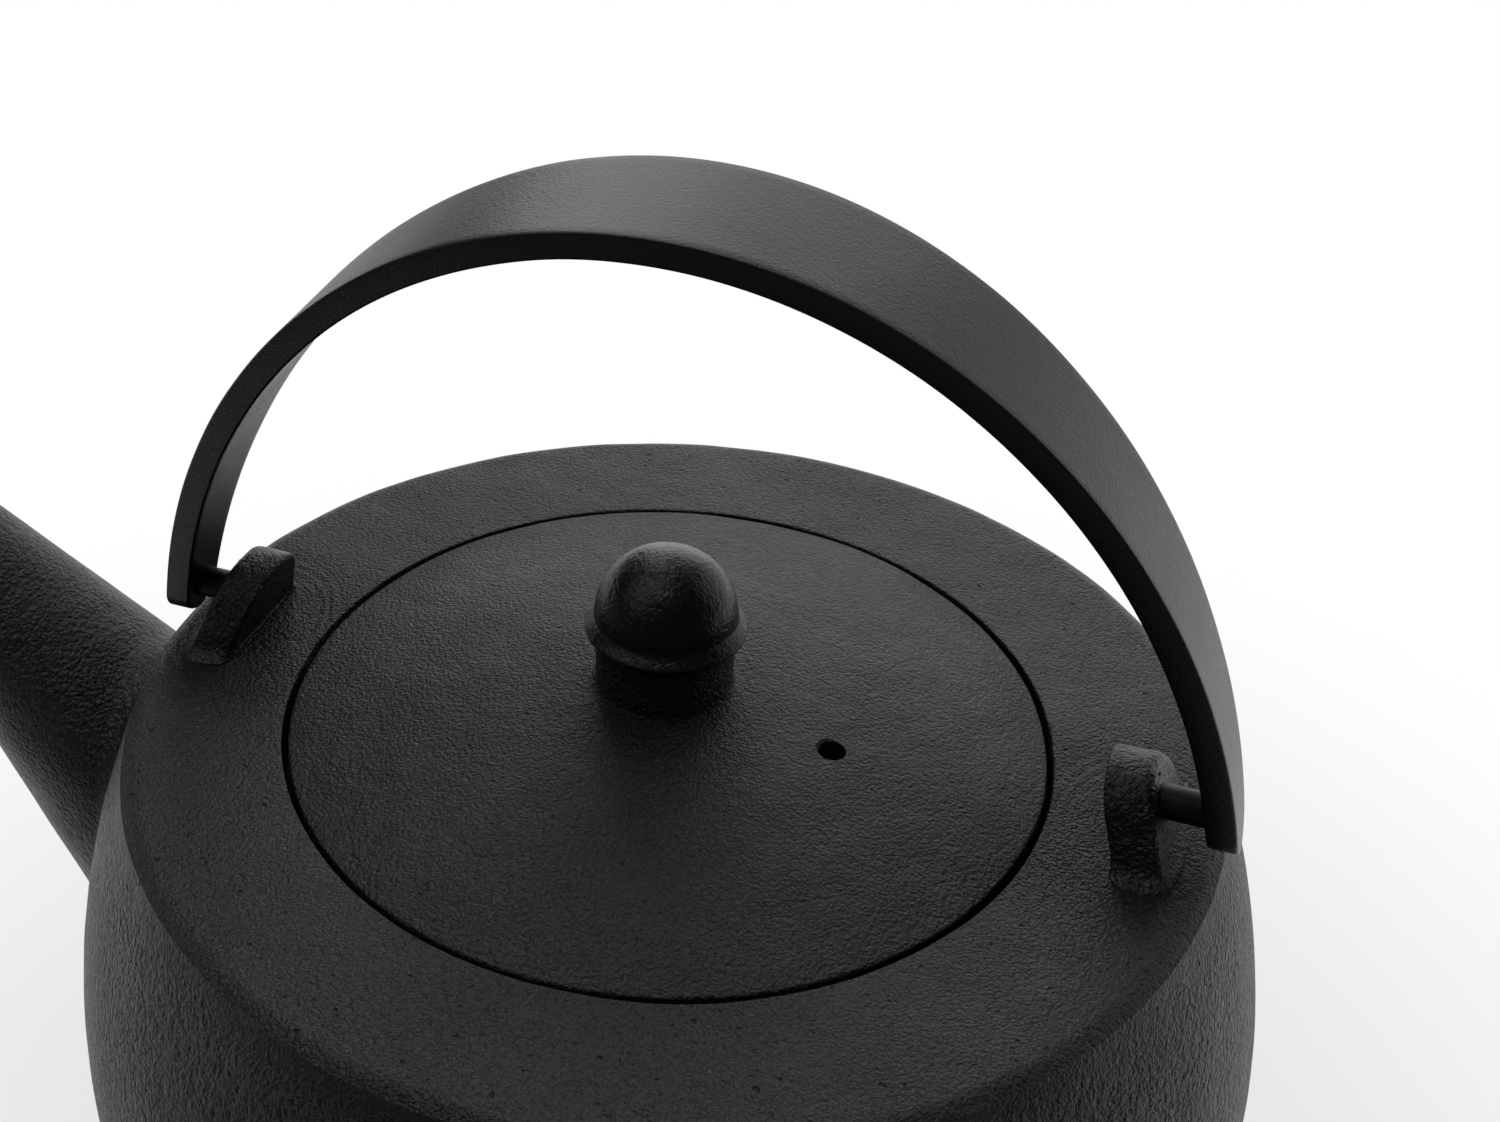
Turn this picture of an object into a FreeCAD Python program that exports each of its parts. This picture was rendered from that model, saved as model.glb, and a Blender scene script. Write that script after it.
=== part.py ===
import FreeCAD, Part
import math
import operator
import os
from types import SimpleNamespace

import Sketcher
from FreeCAD import Placement, Rotation, Vector

# Driving sizes in millimetres and degrees
SIZES = {
    # Belly, shoulder and foot of the pot
    "body_height": 82.0,
    "belly_radius": 74.4,
    "belly_height": 39.0,
    "shoulder_step": 9.3,
    "shoulder_round": 3.0,
    "base_round": 12.0,
    "foot_radius": 50.0,
    "foot_height": 1.0,
    "cast_wall": 4.0,
    "shoulder_thickness": 5.0,
    "hollow_round": 9.0,
    # Mouth with the ledge that carries the basket and the lid
    "shoulder_width": 19.1,
    "mouth_round": 0.4,
    "seat_depth": 6.0,
    "ledge_width": 4.0,
    "ledge_thickness": 4.0,
    "ledge_backing": 4.0,
    # Spout, measured along its axis from the point where it leaves the belly
    "spout_angle": 46.0,
    "spout_inset": 4.4,
    "spout_climb": 8.8,
    "spout_root_radius": 18.2,
    "spout_tip_radius": 8.2,
    "spout_length": 52.0,
    "spout_sink": 25.0,
    "spout_wall": 3.4,
    "spout_blend": 5.0,
    "spout_lip_round": 1.0,
    # Lugs on the shoulder, set out from the axis of the pins
    "pin_height": 4.8,
    "lug_setback": 11.7,
    "lug_thickness": 5.9,
    "lug_drop": 1.6,
    "lug_top_radius": 6.9,
    "lug_half_length": 10.4,
    "lug_lean": 19.0,
    "lug_root": 3.5,
    "lug_round": 1.0,
    "lug_blend": 1.8,
    # Handle strap and its pins
    "pin_radius": 2.0,
    "pin_clearance": 0.05,
    "pin_recess": 0.5,
    "pin_chamfer": 0.4,
    "strap_gap": 3.6,
    "strap_bulge": 2.0,
    "strap_rise": 63.7,
    "strap_thickness": 3.4,
    "strap_crown_width": 21.2,
    "strap_end_width": 8.0,
    "strap_edge_round": 0.4,
    # Lid
    "lid_gap": 1.05,
    "lid_drop": 0.3,
    "lid_rise": 6.0,
    "lid_thickness": 6.4,
    "lid_edge_round": 0.5,
    "skirt_clearance": 0.7,
    "skirt_wall": 3.0,
    "skirt_depth": 4.0,
    "neck_height": 12.7,
    "neck_foot_radius": 8.2,
    "neck_top_radius": 8.4,
    "neck_blend": 1.2,
    "vent_radius": 1.6,
    "vent_offset": 22.1,
    "vent_turn": 10.7,
    # Knob, its screw and its washer
    "collar_lip": 1.35,
    "collar_height": 2.8,
    "collar_rim": 1.4,
    "collar_round": 0.5,
    "dome_radius": 8.5,
    "dome_blend": 0.9,
    "screw_radius": 2.0,
    "screw_grip": 7.0,
    "screw_end_gap": 1.0,
    "screw_clearance": 0.3,
    "screw_head_radius": 3.6,
    "screw_head_height": 2.4,
    "screw_head_round": 1.2,
    "washer_radius": 5.5,
    "washer_thickness": 0.8,
    # Basket that hangs in the mouth
    "rim_gap": 1.6,
    "sheet_thickness": 0.8,
    "basket_gap": 6.0,
    "basket_depth": 54.0,
    "rim_collar": 5.0,
    "base_collar": 2.4,
    "wall_drop": 0.5,
    "hole_radius": 1.5,
    "hole_pitch": 9.0,
    "hole_margin": 12.0,
}
HOLE_ROWS = 4
HOLE_COLUMNS = 18
BASE_RINGS = 3
BASE_SPOKES = 12
SAME = 0.01
OVERCUT = 2.0
LEFT = 1
RIGHT = -1
OPERATIONS = {"+": operator.add, "-": operator.sub, "*": operator.mul, "/": operator.truediv}


class Size:
    """A size: its number, and the expression that ties it to the sheet."""

    def __init__(self, number, text):
        self.number = number
        self.text = text

    def __add__(self, other):
        return combine(self, "+", other)

    def __radd__(self, other):
        return combine(other, "+", self)

    def __sub__(self, other):
        return combine(self, "-", other)

    def __rsub__(self, other):
        return combine(other, "-", self)

    def __mul__(self, other):
        return combine(self, "*", other)

    def __rmul__(self, other):
        return combine(other, "*", self)

    def __truediv__(self, other):
        return combine(self, "/", other)

    def __neg__(self):
        return combine(0, "-", self)


def as_size(value):
    """Give a plain number the form of a size."""
    return value if isinstance(value, Size) else Size(float(value), str(value))


def combine(left, sign, right):
    """Join two sizes with an arithmetic sign."""
    left, right = as_size(left), as_size(right)
    number = OPERATIONS[sign](left.number, right.number)
    return Size(number, f"({left.text} {sign} {right.text})")


def root(value):
    """Square root of a size."""
    return Size(math.sqrt(value.number), f"sqrt({value.text})")


def sine(angle):
    """Sine of an angle in degrees."""
    return Size(math.sin(math.radians(angle.number)), f"sin({angle.text})")


def cosine(angle):
    """Cosine of an angle in degrees."""
    return Size(math.cos(math.radians(angle.number)), f"cos({angle.text})")


doc = FreeCAD.newDocument("teapot")
sheet = doc.addObject("Spreadsheet::Sheet", "Sizes")
for row, (alias, number) in enumerate(SIZES.items(), start=1):
    sheet.set(f"A{row}", alias)
    sheet.set(f"B{row}", str(number))
    sheet.setAlias(f"B{row}", alias)
doc.recompute()
size = SimpleNamespace(**{alias: Size(number, f"Sizes.{alias}") for alias, number in SIZES.items()})

# Sizes that follow from the driving ones
size.shoulder_radius = size.belly_radius - size.shoulder_step
size.mouth_radius = size.shoulder_radius - size.shoulder_width
size.throat_radius = size.mouth_radius - size.ledge_width
size.basket_radius = size.throat_radius - size.basket_gap
size.spout_offset = size.belly_radius - size.spout_inset
size.spout_level = size.belly_height + size.spout_climb
size.lug_offset = size.shoulder_radius - size.lug_setback
size.strap_half_span = size.lug_offset + size.lug_thickness + size.strap_gap + size.strap_thickness
size.strap_half_width = size.strap_half_span + size.strap_bulge
size.collar_radius = size.dome_radius + size.collar_lip


def new_body(label, level=None):
    """Start a sub-part whose own zero lies at a height above the table."""
    body = doc.addObject("PartDesign::Body", label)
    body.Label = label
    if level is not None:
        body.setExpression("Placement.Base.z", level.text)
    return body


def datum(body, role):
    """Plane or axis of the body's own origin."""
    return next(item for item in body.Origin.OriginFeatures if item.Role == role)


def new_sketch(body, name, plane):
    """Start a sketch on one of the body's own origin planes."""
    sketch = body.newObject("Sketcher::SketchObject", name)
    sketch.AttachmentSupport = [(datum(body, plane), "")]
    sketch.MapMode = "FlatFace"
    return sketch


def bind(sketch, kind, places, value):
    """Add a constraint whose value is a size."""
    index = sketch.addConstraint(Sketcher.Constraint(kind, *places, value.number))
    sketch.setExpression(f"Constraints[{index}]", value.text)


def pin_point(sketch, place, across, up):
    """Hold a point of the sketch at two sizes from the origin."""
    for kind, axis, value in (("DistanceX", -2, as_size(across)), ("DistanceY", -1, as_size(up))):
        if value.number == 0:
            sketch.addConstraint(Sketcher.Constraint("PointOnObject", *place, axis))
        else:
            bind(sketch, kind, (-1, 1, *place), value)


def arc_between(start, end, radius, side):
    """Arc from start to end with its centre on the left or the right of the way."""
    chord = end - start
    middle = start + chord * 0.5
    height = math.sqrt(radius**2 - (chord.Length / 2) ** 2)
    centre = middle + Vector(-chord.y, chord.x, 0).normalize() * height * side
    first, last = (start, end) if side == LEFT else (end, start)
    angles = [math.atan2(point.y - centre.y, point.x - centre.x) for point in (first, last)]
    return Part.ArcOfCircle(Part.Circle(centre, Vector(0, 0, 1), radius), *angles)


def outline(sketch, corners):
    """Close a row of corners with straight and round sides.

    A corner is (across, up) where the side that leaves it is straight, and (across, up, radius, turn)
    where that side is an arc with its centre on the left or the right of the way round.
    """
    points = [Vector(as_size(corner[0]).number, as_size(corner[1]).number, 0) for corner in corners]
    sides = []
    for corner, start, end in zip(corners, points, points[1:] + points[:1]):
        if len(corner) == 2:
            sides.append((sketch.addGeometry(Part.LineSegment(start, end)), 1, 2))
            continue
        radius, turn = corner[2:]
        index = sketch.addGeometry(arc_between(start, end, radius.number, turn))
        bind(sketch, "Radius", (index,), radius)
        sides.append((index, 1, 2) if turn == LEFT else (index, 2, 1))
    for corner, side, following in zip(corners, sides, sides[1:] + sides[:1]):
        sketch.addConstraint(Sketcher.Constraint("Coincident", side[0], side[2], following[0], following[1]))
        pin_point(sketch, side[:2], *corner[:2])


def ring(sketch, across, up, radius):
    """Circle in a sketch."""
    centre = Vector(as_size(across).number, as_size(up).number, 0)
    index = sketch.addGeometry(Part.Circle(centre, Vector(0, 0, 1), radius.number))
    pin_point(sketch, (index, 3), across, up)
    bind(sketch, "Radius", (index,), radius)


def tongue(sketch, half_width, reach, radius):
    """Outline with a round end about the origin and flanks that touch it and run to a straight end."""
    corner = Vector(half_width.number, reach.number, 0)
    toward = math.copysign(1, -reach.number)
    touch = math.atan2(corner.y, corner.x) + toward * math.acos(radius.number / corner.Length)
    right = Vector(math.cos(touch), math.sin(touch), 0) * radius.number
    left = Vector(-right.x, right.y, 0)
    far = Vector(-corner.x, corner.y, 0)
    base = sketch.addGeometry(Part.LineSegment(far, corner))
    flanks = [sketch.addGeometry(Part.LineSegment(*ends)) for ends in ((corner, right), (far, left))]
    angles = (touch, math.pi - touch) if toward > 0 else (math.pi - touch, touch)
    circle = Part.Circle(Vector(0, 0, 0), Vector(0, 0, 1), radius.number)
    cap = sketch.addGeometry(Part.ArcOfCircle(circle, *angles))
    ends = (1, 2) if toward > 0 else (2, 1)
    pin_point(sketch, (base, 2), half_width, reach)
    pin_point(sketch, (base, 1), -half_width, reach)
    pin_point(sketch, (cap, 3), 0, 0)
    bind(sketch, "Radius", (cap,), radius)
    for flank, base_end, cap_end in zip(flanks, (2, 1), ends):
        sketch.addConstraint(Sketcher.Constraint("Coincident", base, base_end, flank, 1))
        sketch.addConstraint(Sketcher.Constraint("Tangent", flank, 2, cap, cap_end))


def feature(body, kind, name, profile, **settings):
    """Add a feature made from a sketch; sizes among its settings are bound to the sheet."""
    item = body.newObject(f"PartDesign::{kind}", name)
    item.Profile = profile
    for key, value in settings.items():
        if isinstance(value, Size):
            item.setExpression(key, value.text)
        else:
            setattr(item, key, value)
    doc.recompute()
    return item


def spin(body, kind, name, corners):
    """Turn a half section about the upright axis."""
    sketch = new_sketch(body, f"{name}_section", "XZ_Plane")
    outline(sketch, corners)
    return feature(body, kind, name, sketch, ReferenceAxis=(sketch, ["V_Axis"]))


def soften(body, kind, name, amount, test):
    """Round or bevel the edges of the body so far that pass a test."""
    solid = body.Tip
    edges = [
        f"Edge{index}" for index, edge in enumerate(solid.Shape.Edges, start=1)
        if not edge.Degenerated and test(edge)
    ]
    item = body.newObject(f"PartDesign::{kind}", name)
    item.Base = (solid, edges)
    item.setExpression("Radius" if kind == "Fillet" else "Size", amount.text)
    doc.recompute()
    return item


def near(first, second):
    """Whether two measures agree."""
    return abs(first - second) < SAME


def is_curved(edge):
    """Whether an edge is anything but straight."""
    return not isinstance(edge.Curve, Part.Line)


def hoop_at(*places):
    """Test for circular edges about the upright axis, each given by radius and level."""
    def test(edge):
        curve = edge.Curve
        if not isinstance(curve, Part.Circle):
            return False
        return any(near(curve.Radius, r.number) and near(curve.Center.z, z.number) for r, z in places)
    return test


def along_spout(distance, radius):
    """Point of the spout's upper side: a distance along its axis and a radius away from it."""
    across = radius * sine(size.spout_angle) - size.spout_offset - distance * cosine(size.spout_angle)
    up = size.spout_level + distance * sine(size.spout_angle) + radius * cosine(size.spout_angle)
    return across, up


def spin_spout(body, kind, name, wall, overrun):
    """Turn a cone about the spout's axis, inside the outer face by a wall and past the tip by an overrun."""
    taper = (size.spout_root_radius - size.spout_tip_radius) / size.spout_length
    tip = size.spout_length + overrun
    inner_radius = size.spout_root_radius - wall + taper * size.spout_sink
    tip_radius = size.spout_root_radius - wall - taper * tip
    sketch = new_sketch(body, f"{name}_section", "XZ_Plane")
    ends = [along_spout(-size.spout_sink, as_size(0)), along_spout(tip, as_size(0))]
    points = [Vector(across.number, up.number, 0) for across, up in ends]
    axis = sketch.addGeometry(Part.LineSegment(*points), True)
    for place, (across, up) in zip((1, 2), ends):
        pin_point(sketch, (axis, place), across, up)
    outline(sketch, [*ends, along_spout(tip, tip_radius), along_spout(-size.spout_sink, inner_radius)])
    return feature(body, kind, name, sketch, ReferenceAxis=(sketch, ["Axis0"]))


def build_pot():
    """Pot casting: belly, shoulder, mouth, spout and lugs."""
    body = new_body("pot_body")
    overhang = size.belly_radius - size.shoulder_radius
    climb = size.body_height - size.belly_height
    bow = (overhang * overhang + climb * climb) / (2 * overhang)
    bow_centre = size.belly_radius - bow
    base_drop = size.belly_height - size.foot_height
    base_radius = bow_centre + root(bow * bow - base_drop * base_drop)
    spin(body, "Revolution", "belly", [
        (0, 0),
        (size.foot_radius, 0),
        (size.foot_radius, size.foot_height),
        (base_radius, size.foot_height, bow, LEFT),
        (size.shoulder_radius, size.body_height),
        (0, size.body_height),
    ])
    shoulder_edge = hoop_at((size.shoulder_radius, size.body_height))
    soften(body, "Fillet", "shoulder_edge", size.shoulder_round, shoulder_edge)
    soften(body, "Fillet", "base_edge", size.base_round, hoop_at((base_radius, size.foot_height)))

    spin_spout(body, "Revolution", "spout", as_size(0), as_size(0))
    tip = Vector(*[value.number for value in along_spout(size.spout_length, as_size(0))], 0)

    def at_tip(edge):
        curve = edge.Curve
        return isinstance(curve, Part.Circle) and curve.Center.sub(Vector(tip.x, 0, tip.y)).Length < SAME

    def at_root(edge):
        faces = body.Tip.Shape.ancestorsOfType(edge, Part.Face)
        surfaces = {type(face.Surface) for face in faces}
        return surfaces == {Part.Cone, Part.Toroid} or surfaces == {Part.Cone, Part.SurfaceOfRevolution}

    soften(body, "Fillet", "spout_blend", size.spout_blend, at_root)
    soften(body, "Fillet", "spout_lip", size.spout_lip_round, at_tip)

    floor = size.foot_height + size.cast_wall
    ceiling = size.body_height - size.shoulder_thickness
    seat = size.body_height - size.seat_depth
    hollow = bow - size.cast_wall
    floor_drop = size.belly_height - floor
    ceiling_climb = ceiling - size.belly_height
    over = size.body_height + OVERCUT
    floor_radius = bow_centre + root(hollow * hollow - floor_drop * floor_drop)
    spin(body, "Groove", "hollow", [
        (0, floor),
        (floor_radius, floor, hollow, LEFT),
        (bow_centre + root(hollow * hollow - ceiling_climb * ceiling_climb), ceiling),
        (size.mouth_radius + size.ledge_backing, ceiling),
        (size.mouth_radius + size.ledge_backing, seat - size.ledge_thickness),
        (size.throat_radius, seat - size.ledge_thickness),
        (size.throat_radius, seat),
        (size.mouth_radius, seat),
        (size.mouth_radius, over),
        (0, over),
    ])
    soften(body, "Fillet", "mouth_edge", size.mouth_round, hoop_at((size.mouth_radius, size.body_height)))
    soften(body, "Fillet", "hollow_edge", size.hollow_round, hoop_at((floor_radius, floor)))
    spin_spout(body, "Groove", "spout_bore", size.spout_wall, as_size(OVERCUT))

    sketch = new_sketch(body, "lug_outline", "YZ_Plane")
    sketch.AttachmentOffset = Placement(Vector(0, 0, 0), Rotation(Vector(-1, 0, 0), size.lug_lean.number))
    crown = size.pin_height - size.lug_drop
    sketch.setExpression("AttachmentOffset.Base.y", (size.body_height + crown).text)
    sketch.setExpression("AttachmentOffset.Base.z", size.lug_offset.text)
    sketch.setExpression("AttachmentOffset.Rotation.Angle", size.lug_lean.text)
    tongue(sketch, size.lug_half_length, -(crown + size.lug_root), size.lug_top_radius)
    lug = feature(body, "Pad", "lug", sketch, Length=size.lug_thickness)
    mirror = body.newObject("PartDesign::Mirrored", "lugs")
    mirror.Originals = [lug]
    mirror.MirrorPlane = (datum(body, "YZ_Plane"), [""])
    body.Tip = mirror
    doc.recompute()

    top = size.body_height.number

    def on_lug(edge):
        return edge.BoundBox.ZMin > top + SAME and abs(edge.CenterOfMass.x) < size.shoulder_radius.number

    def under_lug(edge):
        box = edge.BoundBox
        return near(box.ZMin, top) and near(box.ZMax, top) and box.YLength < size.throat_radius.number

    soften(body, "Fillet", "lug_edges", size.lug_round, on_lug)
    soften(body, "Fillet", "lug_foot", size.lug_blend, under_lug)
    sketch = new_sketch(body, "pin_bore_outline", "YZ_Plane")
    ring(sketch, 0, size.body_height + size.pin_height, size.pin_radius + size.pin_clearance)
    reach = size.lug_offset + size.lug_thickness + OVERCUT
    feature(body, "Pocket", "pin_bores", sketch, Length=2 * reach, SideType="Symmetric")
    return body


def build_lid(seat):
    """Lid casting with its skirt, its vent and the neck under the knob; zero is its seat on the basket."""
    body = new_body("lid", seat)
    rim = size.mouth_radius - size.lid_gap
    top = size.seat_depth - size.sheet_thickness - size.lid_drop
    crown = top + size.lid_rise
    underside = crown - size.lid_thickness
    skirt = size.basket_radius - size.sheet_thickness - size.skirt_clearance
    hole = size.screw_radius + size.screw_clearance
    neck_top = top + size.lid_drop + size.neck_height
    foot = size.neck_foot_radius
    depth = (rim * rim - foot * foot - size.lid_rise * size.lid_rise) / (2 * size.lid_rise)
    dome = root(rim * rim + depth * depth)
    spin(body, "Revolution", "disc", [
        (hole, underside),
        (skirt - size.skirt_wall, underside),
        (skirt - size.skirt_wall, -size.skirt_depth),
        (skirt, -size.skirt_depth),
        (skirt, 0),
        (rim, 0),
        (rim, top, dome, LEFT),
        (foot, crown),
        (size.neck_top_radius, neck_top),
        (hole, neck_top),
    ])
    soften(body, "Fillet", "neck_foot", size.neck_blend, hoop_at((foot, crown)))
    soften(body, "Fillet", "rim_edge", size.lid_edge_round, hoop_at((rim, top)))
    sketch = new_sketch(body, "vent_outline", "XY_Plane")
    across = size.vent_offset * cosine(size.vent_turn)
    ring(sketch, across, -size.vent_offset * sine(size.vent_turn), size.vent_radius)
    feature(body, "Pocket", "vent", sketch, Length=2 * (neck_top + OVERCUT), SideType="Symmetric")
    return body


def build_knob(level):
    """Acorn knob: a dome on a sloping collar with a round rim, drilled from below for its screw."""
    body = new_body("lid_knob", level)
    bore = size.screw_grip + size.screw_end_gap
    spin(body, "Revolution", "acorn", [
        (0, bore),
        (size.screw_radius, bore),
        (size.screw_radius, 0),
        (size.neck_top_radius, 0),
        (size.collar_radius, size.collar_rim),
        (size.dome_radius, size.collar_height, size.dome_radius, LEFT),
        (0, size.collar_height + size.dome_radius),
    ])
    dome_foot = hoop_at((size.dome_radius, size.collar_height))
    soften(body, "Fillet", "dome_foot", size.dome_blend, dome_foot)
    collar_rim = hoop_at((size.collar_radius, size.collar_rim))
    soften(body, "Fillet", "collar_edge", size.collar_round, collar_rim)
    return body


def build_screw(level, shank):
    """Pan head screw; zero is the underside of its head, against the washer."""
    body = new_body("knob_screw", level)
    spin(body, "Revolution", "turned", [
        (0, -size.screw_head_height),
        (size.screw_head_radius, -size.screw_head_height),
        (size.screw_head_radius, 0),
        (size.screw_radius, 0),
        (size.screw_radius, shank),
        (0, shank),
    ])
    head_edge = hoop_at((size.screw_head_radius, -size.screw_head_height))
    soften(body, "Fillet", "head_edge", size.screw_head_round, head_edge)
    return body


def build_washer(level):
    """Plain washer between the screw's head and the lid; zero is its lower face."""
    body = new_body("knob_washer", level)
    hole = size.screw_radius + size.screw_clearance
    spin(body, "Revolution", "turned", [
        (hole, 0),
        (size.washer_radius, 0),
        (size.washer_radius, size.washer_thickness),
        (hole, size.washer_thickness),
    ])
    return body


def drum(name, across, up, centre):
    """Solid elliptic drum that runs along the width of the strap."""
    upright = up.number >= across.number
    major, minor = (up, across) if upright else (across, up)
    ellipse = doc.addObject("Part::Ellipse", f"{name}_ellipse")
    ellipse.setExpression("MajorRadius", major.text)
    ellipse.setExpression("MinorRadius", minor.text)
    seam_down = Rotation(Vector(0, 1, 0), 180) * Rotation(Vector(1, 1, 1), -120)
    turn = seam_down if upright else Rotation(Vector(1, 0, 0), 90)
    ellipse.Placement = Placement(Vector(0, 0, 0), turn)
    ellipse.setExpression("Placement.Base.z", centre.text)
    solid = doc.addObject("Part::Extrusion", name)
    solid.Base = ellipse
    solid.DirMode = "Custom"
    solid.Dir = Vector(0, 1, 0)
    solid.setExpression("LengthFwd", (2 * size.strap_crown_width).text)
    solid.Symmetric = True
    solid.Solid = True
    return solid


def build_strap(level):
    """Bail: an elliptic hoop trimmed to a long tongue in side view; zero is the axis of the pins."""
    span_ratio = size.strap_half_span / size.strap_half_width
    dip_ratio = root(1 - span_ratio * span_ratio)
    half_height = size.strap_rise / (1 - dip_ratio)
    centre = size.strap_rise - half_height
    hoop = doc.addObject("Part::Cut", "strap_hoop")
    hoop.Base = drum("strap_outside", size.strap_half_width, half_height, centre)
    thickness = size.strap_thickness
    hoop.Tool = drum("strap_inside", size.strap_half_width - thickness, half_height - thickness, centre)

    blade = new_body("strap_blade")
    sketch = new_sketch(blade, "blade_outline", "YZ_Plane")
    tongue(sketch, size.strap_crown_width / 2, size.strap_rise + OVERCUT, size.strap_end_width / 2)
    feature(blade, "Pad", "blade", sketch, Length=4 * size.strap_half_width, SideType="Symmetric")
    bail = doc.addObject("Part::Common", "strap_bail")
    bail.Base = hoop
    bail.Tool = blade
    doc.recompute()

    strap = new_body("handle_strap", level)
    strap.BaseFeature = bail
    doc.recompute()
    soften(strap, "Fillet", "strap_edges", size.strap_edge_round, is_curved)
    sketch = new_sketch(strap, "pin_hole_outline", "YZ_Plane")
    ring(sketch, 0, 0, size.pin_radius)
    feature(strap, "Pocket", "pin_holes", sketch, Length=4 * size.strap_half_width, SideType="Symmetric")
    return strap


def build_pin(label, level, side):
    """Pin pressed into one end of the strap and running in the lug; zero is its axis."""
    body = new_body(label, level)
    inner = size.lug_offset + size.pin_recess
    outer = size.strap_half_span - size.pin_recess
    sketch = new_sketch(body, "pin_section", "XZ_Plane")
    outline(sketch, [
        (side * inner, 0),
        (side * outer, 0),
        (side * outer, size.pin_radius),
        (side * (inner + size.pin_chamfer), size.pin_radius),
        (side * inner, size.pin_radius - size.pin_chamfer),
    ])
    feature(body, "Revolution", "turned", sketch, ReferenceAxis=(sketch, ["H_Axis"]))
    return body


def build_rim(level):
    """Flange of the basket with the collar that holds its wall; zero is the ledge of the mouth."""
    body = new_body("infuser_rim", level)
    rim = size.mouth_radius - size.rim_gap
    collar = size.basket_radius + size.sheet_thickness
    spin(body, "Revolution", "spun", [
        (size.basket_radius, -size.rim_collar),
        (collar, -size.rim_collar),
        (collar, 0),
        (rim, 0),
        (rim, size.sheet_thickness),
        (size.basket_radius, size.sheet_thickness),
    ])
    return body


def repeat_round(body, name, original, count):
    """Repeat a feature evenly about the upright axis."""
    pattern = body.newObject("PartDesign::PolarPattern", name)
    pattern.Originals = [original]
    pattern.Axis = (datum(body, "Z_Axis"), [""])
    pattern.Angle = 360
    pattern.Occurrences = count
    body.Tip = pattern
    doc.recompute()
    return pattern


def build_wall(level):
    """Perforated wall of the basket; zero is the ledge of the mouth."""
    body = new_body("infuser_wall", level)
    top = size.sheet_thickness - size.wall_drop
    bottom = 2 * size.sheet_thickness - size.basket_depth
    inside = size.basket_radius - size.sheet_thickness
    spin(body, "Revolution", "tube", [
        (inside, bottom),
        (size.basket_radius, bottom),
        (size.basket_radius, top),
        (inside, top),
    ])
    sketch = new_sketch(body, "hole_column", "YZ_Plane")
    for row in range(HOLE_ROWS):
        ring(sketch, 0, bottom + size.hole_margin + row * size.hole_pitch, size.hole_radius)
    column = feature(body, "Pocket", "holes", sketch, Length=size.basket_radius + OVERCUT, Reversed=True)
    repeat_round(body, "hole_columns", column, HOLE_COLUMNS)
    return body


def build_base(level):
    """Bottom of the basket: a shallow perforated cup round the foot of the wall."""
    body = new_body("infuser_base", level)
    bottom = size.sheet_thickness - size.basket_depth
    collar = size.basket_radius + size.sheet_thickness
    spin(body, "Revolution", "cup", [
        (0, bottom),
        (collar, bottom),
        (collar, bottom + size.base_collar),
        (size.basket_radius, bottom + size.base_collar),
        (size.basket_radius, bottom + size.sheet_thickness),
        (0, bottom + size.sheet_thickness),
    ])
    sketch = new_sketch(body, "hole_spoke", "XY_Plane")
    for index in range(BASE_RINGS):
        ring(sketch, size.hole_margin + index * size.hole_pitch, 0, size.hole_radius)
    spoke = feature(body, "Pocket", "holes", sketch, Length=2 * size.basket_depth, SideType="Symmetric")
    repeat_round(body, "hole_spokes", spoke, BASE_SPOKES)
    return body


ledge = size.body_height - size.seat_depth
lid_seat = ledge + size.sheet_thickness
pin_level = size.body_height + size.pin_height
neck_level = size.body_height + size.neck_height
lid_inside = size.body_height - size.lid_drop + size.lid_rise - size.lid_thickness
washer_level = lid_inside - size.washer_thickness
parts = [
    build_pot(),
    build_lid(lid_seat),
    build_knob(neck_level),
    build_screw(washer_level, neck_level - washer_level + size.screw_grip),
    build_washer(washer_level),
    build_strap(pin_level),
    build_pin("handle_pin_left", pin_level, -1),
    build_pin("handle_pin_right", pin_level, 1),
    build_rim(ledge),
    build_wall(ledge),
    build_base(ledge),
]
doc.recompute()

faults = [item.Label for item in doc.Objects if {"Invalid", "Error"} & set(item.State)]
faults += [part.Label for part in parts if part.Shape.isNull() or not part.Shape.isValid()]
if faults:
    raise RuntimeError(f"not built: {faults}")
os.makedirs("parts", exist_ok=True)
for part in parts:
    part.Shape.exportStep(f"parts/{part.Label}.step")
    box = part.Shape.BoundBox
    print(part.Label, len(part.Shape.Solids), round(part.Shape.Volume), [round(v, 2) for v in (
        box.XMin, box.XMax, box.YMin, box.YMax, box.ZMin, box.ZMax)])
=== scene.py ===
"""Black cast iron teapot with a bail handle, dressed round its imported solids."""
import logging
import math
from collections.abc import Mapping, Sequence
from dataclasses import dataclass, replace
from enum import Enum
from typing import Any

import bmesh
import bpy
import numpy as np
from mathutils import Matrix


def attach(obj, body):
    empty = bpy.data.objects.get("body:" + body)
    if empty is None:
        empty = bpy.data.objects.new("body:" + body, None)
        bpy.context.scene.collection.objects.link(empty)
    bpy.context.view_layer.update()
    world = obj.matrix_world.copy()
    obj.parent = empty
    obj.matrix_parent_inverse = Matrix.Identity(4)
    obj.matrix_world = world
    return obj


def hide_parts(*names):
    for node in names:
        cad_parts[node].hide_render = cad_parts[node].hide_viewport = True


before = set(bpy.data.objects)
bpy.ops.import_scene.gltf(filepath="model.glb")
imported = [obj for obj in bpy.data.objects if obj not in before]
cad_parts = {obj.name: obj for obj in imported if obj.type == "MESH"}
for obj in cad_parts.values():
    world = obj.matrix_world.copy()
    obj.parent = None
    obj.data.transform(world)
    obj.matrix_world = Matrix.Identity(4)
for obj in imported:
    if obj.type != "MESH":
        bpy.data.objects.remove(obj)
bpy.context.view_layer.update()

LOG = logging.getLogger("teapot")
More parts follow.
